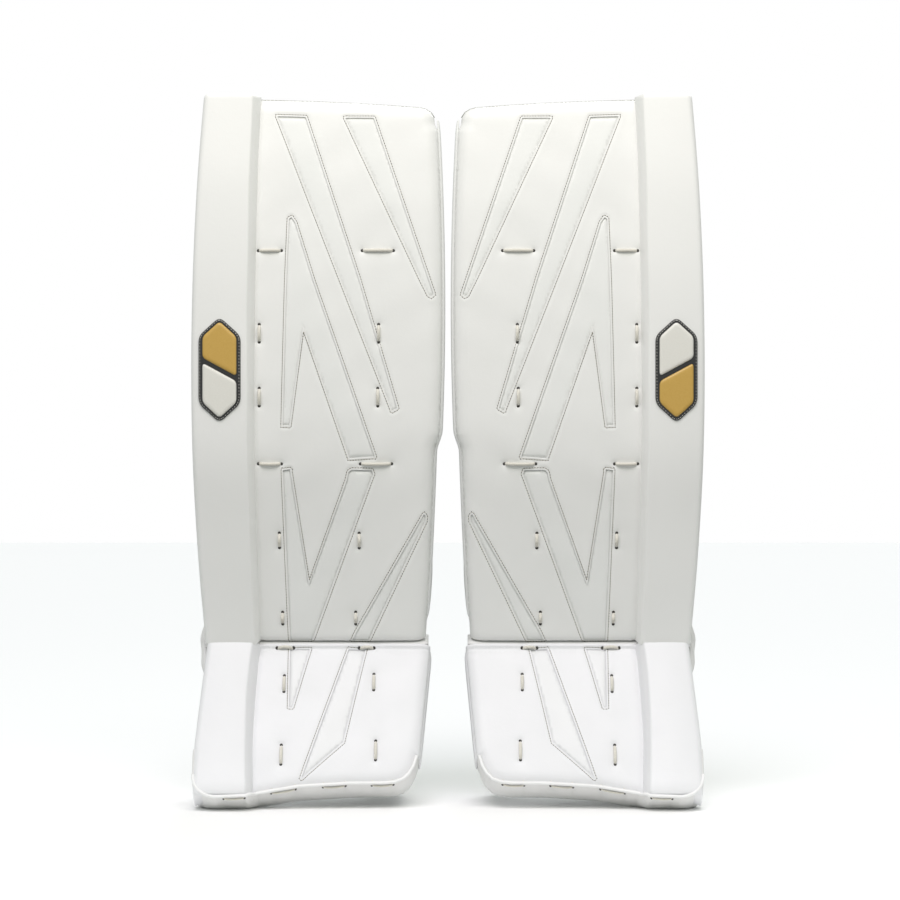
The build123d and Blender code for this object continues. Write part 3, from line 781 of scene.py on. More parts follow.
def woven_cord(name, colour, shade, scale):
    """Braided cord: crossed strands in relief, with painted shade that makes it a little darker between them.
    """
    material, tree, shader = bsdf(name, colour, 0.62, Sheen_Weight=0.3, Sheen_Roughness=0.4)
    both = tree.nodes.new("ShaderNodeMath")
    both.operation = "MAXIMUM"
    for i, turn in enumerate((0.7, -0.7)):
        spin = texture(tree, "ShaderNodeMapping", Rotation=(turn, turn, turn))
        strands = tree.nodes.new("ShaderNodeTexWave")
        set_inputs(strands, {"Scale": scale, "Distortion": 0.8})
        tree.links.new(spin.outputs["Vector"], strands.inputs["Vector"])
        tree.links.new(strands.outputs["Fac"], both.inputs[i])
    # Painted shade: the colour darkens where the strands' relief is low.
    tree.links.new(between(tree, both.outputs[0], shade, colour), shader.inputs["Base Color"])
    tree.links.new(relief(tree, both.outputs[0], 0.5, 0.0004).outputs["Normal"], shader.inputs["Normal"])
    return material


lace_cord = woven_cord("lace_cord", (0.80, 0.775, 0.70), (0.60, 0.575, 0.50), 420.0)
# Painted shade: near-black discs and cones stand for the dark inside of lace holes, needle holes and whip
# holes.
hole_painted_shade = moulded("hole_painted_shade", (0.02, 0.018, 0.015), (0.05, 0.045, 0.04), 0.7, 800, 0.2)


def laced(laces, place, drop, rear_of):
    """All the laces of one section, with their knots and the holes that they run through."""
    cords, holes = [], []
    for lace in laces:
        rear = rear_of(lace[1])
        path = lace_path(lace, place, drop, rear)
        cords.append(tube(path, lace_radius))
        for tip, inner in ((path[0], path[1]), (path[-1], path[-2])):
            back = (tip - inner) / np.linalg.norm(tip - inner)
            across = np.array([1.0, 0, 0])
            cords.append(tube(knot_path(tip + 1.6 * back, across, np.cross(back, across), 2.9), 1.25, 6))
        a, b = lace_ends(lace)
        way = (b - a) / np.linalg.norm(b - a)
        holes += [hole_mark(a - way * 0.2, place, drop), hole_mark(b + way * 0.2, place, drop)]
    return in_two_finishes(cords, holes)


def shin_lace_rear(z):
    """Where a face lace's knots lie: behind the pad that it holds, or behind the board."""
    if z > 600:
        return board + 22
    if z > 432:
        return board + 13
    return board + 12.5


verts, faces, picks = laced(shin_laces, on_shin, shin_drop, shin_lace_rear)
both_pads("face_laces", verts, faces, [lace_cord, hole_painted_shade], "shin", "lace_cord", ["face_laces"], picks)

# ---------------------------------------------------------------- the stitching round the windows
# One row of lockstitch in thick waxed thread runs just outside each window. Each stitch is a short raised
# thread between two needle holes.
thread_radius = 0.36
thread_length = 1.8
needle_hole = 0.78
thread = moulded("thread", (0.55, 0.51, 0.42), (0.42, 0.385, 0.31), 0.6, 900, 0.3)


def stitch_row(line, place, drop, pitch, closed):
    """Stitches along a line: the threads' points and faces, and the needle holes' between them."""
    line = np.asarray(line, float)
    if closed:
        line = closed_line(line)
    runs = np.linalg.norm(np.diff(line, axis=0), axis=1)
    travelled = np.concatenate([[0], np.cumsum(runs)])
    count = max(2, int(travelled[-1] / pitch))
    at = (np.arange(count) + 0.5) * travelled[-1] / count
    x = np.interp(at, travelled, line[:, 0])
    y = np.interp(at, travelled, line[:, 1])
    piece = np.clip(np.searchsorted(travelled, at) - 1, 0, len(runs) - 1)
    way = np.diff(line, axis=0)[piece] / np.maximum(runs[piece], 1e-6)[:, None]
    side = np.stack([-way[:, 1], way[:, 0]], -1)
    half = thread_length / 2
    stations = [(-half, 0.25, 0.12), (-half * 0.7, 0.85, 0.02), (0, 1.0, -0.14),
                (half * 0.7, 0.85, 0.02), (half, 0.25, 0.12)]
    ring = np.linspace(0, 2 * pi, 5, endpoint=False)
    centre = np.stack([x, y], -1)
    base = drop(centre)
    rows = []
    for along, size, sink in stations:
        for angle in ring:
            plan = centre + along * way + thread_radius * size * cos(angle) * side
            rows.append(place(plan[:, 0], plan[:, 1], base + sink - thread_radius * size * sin(angle)))
    threads = np.stack(rows, 1).reshape(-1, 3)
    template = fans(5, len(stations)) + [(4, 3, 2, 1, 0), (20, 21, 22, 23, 24)]
    thread_faces = [tuple(v + k * 25 for v in f) for k in range(count) for f in template]
    # The needle holes are small near-black cones: painted shade where the thread dives into the leather.
    hole = centre + way * (travelled[-1] / count / 2)
    hole_base = drop(hole)
    needle_hole_shades = []
    for angle in ring:
        rim = hole + needle_hole * (cos(angle) * way + 0.85 * sin(angle) * side)
        needle_hole_shades.append(place(rim[:, 0], rim[:, 1], hole_base - 0.10))
    needle_hole_shades += [place(hole[:, 0], hole[:, 1], hole_base + sink) for sink in (0.4, -0.16)]
    needle_hole_shades = np.stack(needle_hole_shades, 1).reshape(-1, 3)
    cone = [(i, 5, (i + 1) % 5) for i in range(5)] + [(i, (i + 1) % 5, 6) for i in range(5)]
    dot_faces = [tuple(v + k * 7 for v in f) for k in range(count) for f in cone]
    return (threads, thread_faces), (needle_hole_shades, dot_faces)


def stitched(name, lines, place, drop, body, pitch=stitch_pitch, closed=True, finish=None):
    """Rows of stitches as one piece on each pad."""
    rows = [stitch_row(line, place, drop, pitch, closed) for line in lines]
    points, polygons, choice = in_two_finishes(*zip(*rows))
    both_pads(name, points, polygons, [finish or thread, hole_painted_shade], body, "lace_cord", (), choice)


def stitched_round(name, windows, place, drop, body):
    """A row of stitches just outside each window."""
    stitched(name, [outside_line(w, stitch_offset) for w in windows], place, drop, body)


stitched_round("window_stitches", shin_windows, on_shin, shin_drop, "shin")
stitched("badge_stitches", [outside_line(base_outline, -1.6)], on_shin,
         lambda p: np.full(len(p), badge_top + 0.25), "shin", 3.4, True, pearl_field)

# ---------------------------------------------------------------- the boot's skin and inlays
# The boot is a shorter foam board, bent forward at the ankle, in its own leather skin with two inlays. Its
# upper edge is turned over a thin bead that lies under the shin's end.
boot_board = 39.0
band_clear = 3.4
boot_inner_x = bow((3.5, 20.0), (83, 26.8), (131.6, 31.0))
boot_rim_x = bow((11.5, 216.0), (86.6, 220.0), (174, 217.5))
boot_foot_x = bow((11.5, 209.5), (86.6, 213.5), (174, 213.0))
boot_valley = [(174.5, -78), (171.5, -78), (153.7, -6.8), (175.3, -6.8)]
boot_stripe = [(159, -161.5), (115, -120), (92, -6.8), (110.3, -6.8)]
boot_windows = [boot_valley, boot_stripe]
boot_laces = [(181, -5, True, 18), (90.5, -5, True, 16), (181, -49, False, 19), (82, -47, False, 19),
              (182, -134, False, 22), (79, -129, False, 22)]
toe_edge = [(252, 190), (217, 188.6), (206, 180), (162, 172), (107, 168.4), (70, 168), (58, 167), (48.5, 163),
            (42.5, 157), (37.5, 148), (34, 136)]


def on_boot_plan(x, up, depth):
    """The boot's plan, with its face upright: up is minus the way down from the crease."""
    points = on_boot(x, -np.asarray(up, float), depth)
    points[..., 2] = np.maximum(points[..., 2], band_clear)
    return points


def boot_outer_x(s):
    """The boot's outer side, which runs straight below its widest place."""
    return bow((0, 266.0), (55, 270.5), (130, 275.8))(np.minimum(s, 130.0))


def boot_outline():
    """The boot's face, anticlockwise from its lower outer corner."""
    up = np.linspace(-186, -0.6, 40)
    outer = np.stack([boot_foot_x(-up) + 2.5, up], -1)
    down = np.linspace(-0.6, -134, 32)
    inner = np.stack([boot_inner_x(-down), down], -1)
    toe = np.array([(x, -(s - 0.8)) for x, s in toe_edge[:1:-1]])
    return np.vstack([outer, inner, toe, [(209, -181)]])


boot_rim = boot_outline()
boot_free_rim = np.vstack([boot_rim[40:], boot_rim[:1]])
boot_spots = [spaced(outside_line(boot_rim, -inset), 4.0) for inset in rim_insets[:-1]]
boot_spots += round_holes(boot_laces, (1.4, 2.8, 4.4, 6.5, 9.0))


def boot_drop(points):
    """How deep the boot's face lies, from its plain flat surface."""
    down = -points[:, 1]
    depth = ripples(points, 0.30, 8) + 0.6 * ((points[:, 0] - 120) / 100) ** 2
    depth += rounded_drop(distance_to(points, boot_free_rim, closed=False), 13, 7.0)
    depth += 3.4 * hump(180 - down, 34.0)
    depth += 1.1 * hump(down - 6.2, 1.3) - 0.9 * hump(down - 2.6, 1.8) + 0.8 * hump(down - 12, 5.0)
    depth += 1.2 * hump(points[:, 0] - boot_foot_x(down), 3.0)
    depth += lace_dimples(points, boot_laces) + seam_pull(points, boot_windows)
    return depth


boot_shell = skin_solid(boot_rim, boot_windows, boot_spots, boot_drop, on_boot_plan, boot_board)
# Painted shade and tint: the boot's leather is a darker, lilac-tinted copy of the face leather, set against
# the extra light on the boot's upward-tilted face.
boot_leather_painted_shade = leather("boot_leather_painted_shade", (0.80, 0.803, 0.82), (0.765, 0.77, 0.785))
both_pads("boot_skin", *boot_shell, boot_leather_painted_shade, "boot", "white_leather", ["boot_skin", "boot_core"])
boot_panels = gathered([panel_solid(w, boot_drop, on_boot_plan) for w in boot_windows])
# The boot's inlays are a darker, lilac-tinted copy of the face inlays in the same way: painted shade and
# tint.
boot_inlay_painted_shade = leather("boot_inlay_leather_painted_shade", (0.79, 0.795, 0.80), (0.75, 0.757, 0.765), roughness=0.38)
both_pads("boot_panels", *boot_panels, boot_inlay_painted_shade, "boot", "inlay_leather", ["boot_panels"])
verts, faces, picks = laced(boot_laces, on_boot_plan, boot_drop, lambda up: boot_board + 1.5)
both_pads("boot_laces", verts, faces, [lace_cord, hole_painted_shade], "boot", "lace_cord", ["boot_laces"], picks)
stitched_round("boot_stitches", boot_windows, on_boot_plan, boot_drop, "boot")

# ---------------------------------------------------------------- the boot's roll
# The outer roll carries on down the boot to the floor, as a separate foam bar with its own leather cover. It
# stands as proud as the shin's roll, and its lower end is softly rounded into the toe band.
boot_low, boot_high = -187.5, -1.6
boot_roll_rows = roll_rows(close_spaced(boot_low, boot_high, 5.0), lambda u: boot_foot_x(-u),
                           lambda u: boot_rim_x(-u), lambda u: boot_outer_x(-u), boot_low, boot_high,
                           boot_board, roll_proud, 0.0, 9, 1.0)
boot_roll = lofted(boot_roll_rows, on_boot_plan)
both_pads("boot_roll", *boot_roll, boot_leather_painted_shade, "boot", "white_leather", ["boot_roll"])

# ---------------------------------------------------------------- the toe band, its piping and its lacing
# A hard-wearing rubbered strip is sewn round the boot's lower end, with a cord of piping in its front seam.
# A lace whips the seam in four long bars, and draws the band up a little between them.
band_line = np.vstack([[(boot_outer_x(s), s) for s in (134, 146, 156, 164)],
                       [(275.3, 170), (273.2, 176.5), (269.4, 182), (264.2, 186.2), (258.4, 188.8)],
                       toe_edge])
band_thickness = 2.6
toe_bars = [(230.5, 21), (178.5, 25), (123.5, 23), (71, 22)]


def front_of(x):
    """How far forward the band's front seam lies: over the roll, down its inner wall, and along the face."""
    t = np.clip((np.asarray(x, float) - 206.5) / 9.5, 0, 1)
    return -(roll_proud - 2.5) * t * t * (3 - 2 * t)


def band_solid():
    """The band as one closed strip: rows across it, from the front seam round to the boot's back."""
    line = spaced(band_line, 3.0, closed=False)
    way = np.gradient(line, axis=0)
    way /= np.linalg.norm(way, axis=1)[:, None]
    out = np.stack([-way[:, 1], way[:, 0]], -1)
    if (out[len(out) // 2] @ np.array([0, 1.0])) < 0:
        out = -out
    travelled = np.concatenate([[0], np.cumsum(np.linalg.norm(np.diff(line, axis=0), axis=1))])
    front = front_of(line[:, 0])
    pull = sum(hump(line[:, 0] - (x + side * length / 2), 5.0) for x, length in toe_bars for side in (-1, 1))
    wave = 0.5 * np.sin(travelled / 9.0) + 0.3 * np.sin(travelled / 5.3 + 1)
    rows = []
    for share, bulge in ((0.0, 0.0), (0.04, 0.9), (0.12, 1.5), (0.25, 1.9), (0.45, 2.0), (0.65, 1.8),
                         (0.85, 1.4), (0.97, 0.9), (1.0, 0.0)):
        offset = bulge + (0.5 * wave - 1.2 * pull) * sin(pi * min(share * 1.2 + 0.1, 1))
        plan = line + out * offset[:, None]
        row = on_boot(plan[:, 0], plan[:, 1], front + (boot_board + 0.6 - front) * share)
        row[:, 2] = np.maximum(row[:, 2], 0.35)
        rows.append(row)
    for share in (0.97, 0.6, 0.3, 0.03):
        plan = line - out * band_thickness
        row = on_boot(plan[:, 0], plan[:, 1], front + (boot_board - front) * share)
        row[:, 2] = np.maximum(row[:, 2], 3.0)
        rows.append(row)
    grid = np.stack(rows, 1)
    count = grid.shape[1]
    points = np.vstack([grid.reshape(-1, 3), grid[0].mean(0)[None], grid[-1].mean(0)[None]])
    polygons = [tuple(reversed(f)) for f in fans(count, len(grid))]
    total = count * len(grid)
    for i in range(count):
        j = (i + 1) % count
        polygons.append((total, i, j))
        polygons.append((total + 1, total - count + j, total - count + i))
    return points, polygons


# The band is a real rubbered strip. Its colour is greyer than the face leather as painted shade, for the end
# face that turns down under the toe.
band_rubber_painted_shade = leather("toe_rubber", (0.80, 0.80, 0.79), (0.72, 0.72, 0.71), roughness=0.5, grain=0.10,
                      scale=1400.0)
both_pads("toe_band", *band_solid(), band_rubber_painted_shade, "boot", "toe_rubber", ["toe_band"])

seam = spaced(band_line[3:], 2.4, closed=False)
seam_path = on_boot(seam[:, 0], seam[:, 1] + 0.4, front_of(seam[:, 0]) - 0.3)
piping_leather = leather("piping", (0.87, 0.87, 0.87), (0.83, 0.83, 0.83), roughness=0.35)
both_pads("toe_piping", *tube(seam_path, 1.8, 10), piping_leather, "boot", "piping", ["toe_piping"])


def seam_s(x):
    """How far down the boot the front seam lies, at a place across it."""
    return float(np.interp(-x, -band_line[6:, 0], band_line[6:, 1]))


whips, whip_hole_shades = [], []
for x, length in toe_bars:
    stations = np.array([-0.5, -0.5, -0.44, -0.3, -0.1, 0.1, 0.3, 0.44, 0.5, 0.5]) * length + x
    inward = np.array([-4.5, -0.5, 1.9, 2.5, 2.9, 2.9, 2.5, 1.9, -0.5, -4.5])
    s = np.array([seam_s(v) for v in stations])
    depth = front_of(stations) + np.array([5.2, 4.6, 4.0, 3.7, 3.4, 3.4, 3.7, 4.0, 4.6, 5.2])
    whips.append(tube(on_boot(stations, s + inward, depth), 1.1, 8))
    # Each bar's end gets a near-black disc: painted shade for the hole that the lace enters.
    for side in (-1, 1):
        end = x + side * (length / 2 + 0.6)
        at = on_boot(end, seam_s(end) + 1.0, float(front_of(end)) + 4.8)
        angles = np.linspace(0, 2 * pi, 9)[:-1]
        ring = at + 1.5 * np.stack([np.cos(angles), np.zeros(8), np.sin(angles)], -1)
        rear = ring + [0, 1.2, 1.0]
        cap = np.vstack([ring, rear])
        whip_hole_shades.append((cap, [tuple(range(8)), tuple(range(15, 7, -1))]
                           + [(i, i + 8, (i + 1) % 8 + 8, (i + 1) % 8) for i in range(8)]))
verts, faces, picks = in_two_finishes(whips, whip_hole_shades)
both_pads("toe_lacing", verts, faces, [lace_cord, hole_painted_shade], "boot", "lace_cord", (), picks)

# ---------------------------------------------------------------- the sliding edge
# A slick hard strip down the pad's inner side, which the pad lands and slides on. On the boot the same side
# carries a softer leather strip.
def side_strip(low, high, rim, proud, near, far, place, reach):
    """A rounded strip that stands out from a pad's inner side."""
    rows = []
    for up in close_spaced(low, high, 6.0):
        rim_x = float(rim(up))
        stand = proud - (end_squeeze(up - low, reach) + end_squeeze(high - up, reach)) * proud / 6.5
        section = [(rim_x + 0.9, near), (rim_x - 0.3 * stand, near + 0.2), (rim_x - 0.85 * stand, near + 1.2),
                   (rim_x - stand, near + 3), (rim_x - stand, near + 9), (rim_x - stand - 0.3, far - 11),
                   (rim_x - stand, far - 3.6), (rim_x - 0.85 * stand, far - 1.2),
                   (rim_x - 0.3 * stand, far - 0.2), (rim_x + 0.9, far)]
        rows.append(np.array([(x, up, depth) for x, depth in section]))
    points, polygons = lofted(rows, place)
    return points, [tuple(reversed(f)) for f in polygons]


slick = moulded("slick_edge", (0.80, 0.81, 0.80), (0.74, 0.75, 0.74), 0.28, 220, 0.15)
shin_strip = side_strip(202.0, 757.0, inner_x, 2.4, 12.0, 38.6, on_shin, 14.0)
both_pads("sliding_edge", *shin_strip, slick, "shin", "slick_edge", ["sliding_edge"])
boot_strip = side_strip(-136.0, -3.0, lambda up: boot_inner_x(-up), 1.7, 15.0, 37.0, on_boot_plan, 16.0)
both_pads("boot_edge", *boot_strip, boot_leather_painted_shade, "boot", "white_leather")

# ---------------------------------------------------------------- the back's binding
# The face skin and the back skin meet along the board's rear edge, under a narrow folded leather binding. The
# thin grey line along the top of the face is painted shade, a dark cord for the shading where that edge rolls
# back.
binding_radius = 1.7
heights = np.linspace(188, 772, 90)
binding_path = np.vstack([
    on_shin(outer_x(heights) - 1.2, heights, board - 0.4),
    on_shin([264, 255], [776.5, 777.5], board - 0.4),
    on_shin([p[0] for p in top_edge], [p[1] - 1.4 for p in top_edge], board - 0.4),
    on_shin([x + 0.8 for x, z in top_corner], [z - 1.2 for x, z in top_corner], board - 0.4),
    on_shin(inner_x(heights[::-1][4:]) + 1.0, heights[::-1][4:], board - 0.4),
])
both_pads("back_binding", *tube(binding_path, binding_radius, 8), piping_leather, "shin", "piping")
# Painted shade: a dark grey cord along the face's top edge stands in for the shading where that edge rolls
# back.
painted_edge_shade = moulded("painted_edge_shade", (0.40, 0.40, 0.38), (0.33, 0.33, 0.31), 0.7, 900, 0.2)
painted_shade_cord = np.array([(roll_foot_x(779) + 1.0, 780.0)] + top_edge[1:] + top_corner[:4])
painted_shade_cord_path = on_shin(painted_shade_cord[:, 0], painted_shade_cord[:, 1] + 0.1, 14.5)
both_pads("painted_shade_cord", *tube(painted_shade_cord_path, 0.8, 6), painted_edge_shade, "shin", "piping")
down = np.linspace(2, 133, 26)
boot_binding = np.vstack([
    on_boot_plan(boot_outer_x(down[::-1]) - 1.4, -down[::-1], boot_board - 0.3),
    on_boot_plan([262, 240, 200, 150, 100, 50, 24], -1.6, boot_board - 0.3),
    on_boot_plan(boot_inner_x(down) + 1.2, -down, boot_board - 0.3),
])
both_pads("boot_binding", *tube(boot_binding, binding_radius, 8), piping_leather, "boot", "piping")

# ---------------------------------------------------------------- the ankle gusset
# Shin and boot are two boards. A pleated leather gusset joins them behind the crease, so that the ankle bends
# as the wearer's does. Its outer end shows as a soft fold at the pad's side.
gusset_leather = leather("gusset_leather", (0.80, 0.80, 0.79), (0.72, 0.72, 0.71), roughness=0.45)
gusset_rows = []
for share in np.linspace(0, 1, 60):
    x = 22.0 + share * 249.0
    edge = min(x - 22.0, 271.0 - x)
    full = min(1.0, 0.25 + edge / 14.0)
    section = [(2.5, 0.6), (12, 3.6), (24, 7.2), (34, 10.0)]
    pleats = [(39.5 + 2.2 * full, 8.6), (33.5, 3.6), (40.5 + 2.8 * full, -0.6), (33.0, -5.4),
              (40.0 + 2.0 * full, -9.6)]
    under = [(34, -12.0), (24, -8.8), (12, -4.2), (2.5, -1.0)]
    wobble = 0.5 * sin(x / 13.0) + 0.4 * sin(x / 7.1 + 1)
    ring = [(y, z * (0.7 + 0.3 * full) + (wobble if y > 30 else 0)) for y, z in section + pleats + under]
    gusset_rows.append(np.array([(x, crease_y + y, break_z - 0.5 + z) for y, z in ring]))
pleated = lofted(gusset_rows, lambda x, y, z: np.stack([x, y, z], -1))
t = np.linspace(0, 1, 46)
fold_z = 218.0 - 102.0 * t
fold_y = crease_y + 24 - 46 * np.maximum(t - 0.44, 0)
fold_x = 262.5 + 8.0 * np.sin(pi * np.clip(t * 1.15, 0, 1)) + 2.5 * t
fold_radius = 5.5 * np.sin(pi * np.clip(0.06 + t * 0.88, 0, 1)) ** 0.6
fold_radius += 0.9 * np.sin(t * 21.0) * np.sin(pi * t)
side_fold = tube(np.stack([fold_x, fold_y, fold_z], -1), fold_radius, 14)
verts, faces = gathered([pleated, side_fold])
both_pads("ankle_gusset", verts, faces, gusset_leather, "shin", "white_leather", (),
          blend=("boot", (0.15, 0.001 * (crease_y + 20), 0.184), (0.15, 0.001 * (crease_y + 20), 0.166)))

# ---------------------------------------------------------------- the liner pads behind the shin
# The calf pad and the deeper knee cradle are foam in brushed nylon, quilted in channels. The face laces run
# through them and hold them to the board.
pad_inner_x, pad_outer_x = 58.5, 240.0


def pillow(shape, place, top, under, edge, channels=(), gap=5.0, flip=False, held=None):
    """A closed cushion: both faces crown between the rim and any sewn channels. Held points are pinned."""
    rim = spaced(shape, gap * 0.8)
    if area(rim) < 0:
        rim = rim[::-1]
    insets = (edge * 0.12, edge * 0.35, edge * 0.65, edge)
    spots = [spaced(outside_line(rim, -inset), gap) for inset in insets]
    spots.append(grid_over(rim, gap, gap))
    spots += [spaced(line, gap, closed=False) for line in channels]
    spots = np.vstack(spots)
    spots = spots[inside(spots, rim) & (distance_to(spots, rim) > 0.3)]
    points = np.vstack([rim, spots])
    count, total = len(rim), len(points)
    triangles = triangulated(points, count)

    def crown(where):
        level = 1 - rounded_drop(distance_to(where, rim), edge, 1.0)
        for line in channels:
            level = level * (1 - 0.62 * hump(distance_to(where, line, closed=False), 4.0))
        return level

    level = crown(points)
    verts = np.vstack([place(points[:, 0], points[:, 1], top * level),
                       place(points[count:, 0], points[count:, 1], -under * level[count:])])
    lower = [i if i < count else i + total - count for i in range(total)]
    faces = triangles + [tuple(lower[v] for v in t)[::-1] for t in triangles]
    if flip:
        faces = [tuple(f)[::-1] for f in faces]
    pinned = distance_to(points, rim) < edge * 0.2
    for line in channels:
        pinned |= distance_to(points, line, closed=False) < 2.0
    if held is not None:
        pinned |= held(points)
    return {"verts": verts, "faces": faces, "pinned": np.concatenate([pinned, pinned[count:]]),
            "height": lambda where: top * crown(where)}


def evaluated(piece):
    """A piece's mesh with its modifiers applied."""
    return bpy.data.meshes.new_from_object(piece.evaluated_get(bpy.context.evaluated_depsgraph_get()))


def swollen(soft, cap):
    """Foam pressing its cover out: a short cloth run from inside, held at its seams and kept within cap."""
    mesh = bpy.data.meshes.new("blank")
    mesh.from_pydata((soft["verts"] * 0.001).tolist(), [], [tuple(map(int, f)) for f in soft["faces"]])
    blank = bpy.data.objects.new("blank", mesh)
    scene = bpy.context.scene
    scene.collection.objects.link(blank)
    remesh = blank.modifiers.new("even", "REMESH")
    remesh.mode = "VOXEL"
    remesh.voxel_size = 0.005
    even = evaluated(blank)
    blank.modifiers.clear()
    blank.data = even
    start = np.array([v.co for v in even.vertices])
    finder = KDTree(len(soft["verts"]))
    for i, point in enumerate(soft["verts"] * 0.001):
        finder.insert(point, i)
    finder.balance()
    seam = blank.vertex_groups.new(name="seam")
    seam.add([v.index for v in even.vertices if soft["pinned"][finder.find(v.co)[1]]], 1.0, "REPLACE")
    cloth = blank.modifiers.new("cover", "CLOTH")
    for setting, value in (("quality", 4), ("mass", 0.3), ("tension_stiffness", 12),
                           ("bending_stiffness", 0.6), ("use_pressure", True),
                           ("uniform_pressure_force", 4.0), ("vertex_group_mass", "seam")):
        setattr(cloth.settings, setting, value)
    cloth.settings.effector_weights.gravity = 0
    cloth.collision_settings.use_collision = False
    for step in range(1, 21):
        scene.frame_set(step)
    puffed = evaluated(blank)
    move = np.array([v.co for v in puffed.vertices]) - start
    length = np.linalg.norm(move, axis=1)
    move *= np.minimum(1, cap * 0.001 / np.maximum(length, 1e-9))[:, None]
    blank.modifiers.clear()
    blank.data = puffed
    puffed.vertices.foreach_set("co", (start + move).ravel())
    smooth = blank.modifiers.new("ease", "SMOOTH")
    smooth.iterations = 2
    smooth.factor = 0.4
    blank.modifiers.new("finer", "SUBSURF").levels = 1
    final = evaluated(blank)
    verts = np.array([v.co for v in final.vertices]) * 1000
    faces = [tuple(p.vertices) for p in final.polygons]
    bpy.data.objects.remove(blank)
    scene.frame_set(1)
    return verts, faces


def padded_pair(name, soft, cap, material, body, slot, replaces, blend=None):
    """A cushion on each pad, swollen once and mirrored."""
    for piece in both_pads(name, *swollen(soft, cap), material, body, slot, replaces, blend=blend):
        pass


def fabric(name, colour, shade, roughness, scale, height, sheen=0.4):
    """Woven or brushed cloth: two crossed sets of yarns in relief over a cloudy colour, with painted shade
    between the yarns.
    """
    material, tree, shader = bsdf(name, colour, roughness, Sheen_Weight=sheen, Sheen_Roughness=0.5)
    weave = tree.nodes.new("ShaderNodeMath")
    weave.operation = "MULTIPLY"
    for i, axis in enumerate("XZ"):
        yarn = texture(tree, "ShaderNodeTexWave", Scale=scale, Distortion=1.2, Detail_Scale=3.0)
        yarn.bands_direction = axis
        tree.links.new(yarn.outputs["Fac"], weave.inputs[i])
    cloud = texture(tree, "ShaderNodeTexNoise", Scale=45.0, Detail=6.0)
    # Painted shade: the colour darkens where the yarns' relief is low, on top of a random cloudy tone.
    yarn_shade_and_cloud = tree.nodes.new("ShaderNodeMath")
    yarn_shade_and_cloud.operation = "MULTIPLY_ADD"
    yarn_shade_and_cloud.inputs[1].default_value = 0.6
    tree.links.new(weave.outputs[0], yarn_shade_and_cloud.inputs[0])
    tree.links.new(cloud.outputs["Fac"], yarn_shade_and_cloud.inputs[2])
    tree.links.new(between(tree, yarn_shade_and_cloud.outputs[0], shade, colour), shader.inputs["Base Color"])
    tree.links.new(relief(tree, weave.outputs[0], height, 0.0004).outputs["Normal"], shader.inputs["Normal"])
    return material


def plate(low, high, radius):
    """A rounded rectangle between two corners."""
    return rounded([(low[0], low[1]), (high[0], low[1]), (high[0], high[1]), (low[0], high[1])], radius, 7)


def behind_shin(x, z, rise):
    """A point behind the shin's board, rise further back than the board's rear face."""
    return on_shin(x, z, board + 1.6 + rise)


liner_cloth = fabric("lining", (0.62, 0.63, 0.63), (0.50, 0.51, 0.515), 0.85, 520.0, 0.5)
calf_channels = [[(pad_inner_x + 6, z), (pad_outer_x - 6, z)] for z in (247, 305, 363)]
calf_shape = plate((pad_inner_x, 186), (pad_outer_x, 424), 18)
calf_pad = pillow(calf_shape, behind_shin, 8.6, 1.2, 9, calf_channels, flip=True)
padded_pair("shin_pad", calf_pad, 3.0, liner_cloth, "shin", "lining", ["shin_pad"])


def in_cradle(x, z, rise):
    """A point of the knee cradle, whose rear face is hollowed across for the knee."""
    across = (x - (pad_inner_x + pad_outer_x) / 2) / 84
    share = 0.42 + 0.58 * np.clip(np.abs(across), 0, 1) ** 2.2
    return on_shin(x, z, board + 1.8 + np.where(rise > 0, rise * share, rise))


knee_channels = [[(x, 442), (x, 618)] for x in (103, 149, 195)]
knee_shape = plate((pad_inner_x, 432), (pad_outer_x, 628), 24)
knee_cushion = pillow(knee_shape, in_cradle, 19.5, 1.2, 13, knee_channels, flip=True)
padded_pair("knee_cradle", knee_cushion, 3.0, liner_cloth, "shin", "lining", ["knee_cradle"])


def seam_stitches(name, line_list, soft, place, clear, body, pitch):
    """Open rows of stitches along a cushion's sewn channels."""
    stitched(name, line_list, lambda x, z, depth: place(x, z, -depth),
             lambda points: -soft["height"](points) - clear, body, pitch, False)


seam_stitches("calf_pad_stitches", calf_channels, calf_pad, behind_shin, 0.2, "shin", 4.2)
seam_stitches("knee_cradle_stitches", knee_channels, knee_cushion, in_cradle, 0.2, "shin", 4.2)

# ---------------------------------------------------------------- the knee and calf blocks
# Two firm foam blocks stand off the board behind its inner edge and close the leg channel on that side. Each
# has a leather cover with welted rear edges, and a patch of loop tape for its strap on the end.
tape_drop = 1.6


def surface_y(z, depth):
    """How far back a layer of the shin lies at a height."""
    radius = thigh_radius if z > apex_z else shin_radius
    return apex_y + radius - np.sqrt((radius - depth) ** 2 - (z - apex_z) ** 2)


def seat(low_z, high_z):
    """A wing and block's straight seat on the curved board: a place function, its height, and its bow."""
    low_y, high_y = surface_y(low_z, board), surface_y(high_z, board)
    height = np.hypot(high_z - low_z, low_y - high_y)
    lean = np.arctan2(low_y - high_y, high_z - low_z)
    radius = (thigh_radius if low_z + high_z > 2 * apex_z else shin_radius) - board

    def place(x, back, up):
        x, back, up = np.broadcast_arrays(np.asarray(x, float), back, up)
        y = low_y + back * cos(lean) - up * sin(lean)
        return np.stack([x, y, low_z + back * sin(lean) + up * cos(lean)], -1)

    return place, height, lambda up: up * (height - up) / (2 * radius)


calf_place, calf_height, calf_bow = seat(196.0, 404.0)
knee_place, knee_height, knee_bow = seat(446.0, 616.0)
loop_cloth = fabric("loop_tape", (0.55, 0.55, 0.55), (0.38, 0.38, 0.385), 0.95, 1100.0, 0.9, 0.8)


def rear_patch(shape, place, seat, rise, edge, gap=2.5):
    """A patch that lies on a rearward face, at its seat's distance back."""
    points, polygons = raised_patch(shape, lambda x, up, d: place(x, -d, up), -seat, rise, edge, gap)
    return points, [tuple(f)[::-1] for f in polygons]


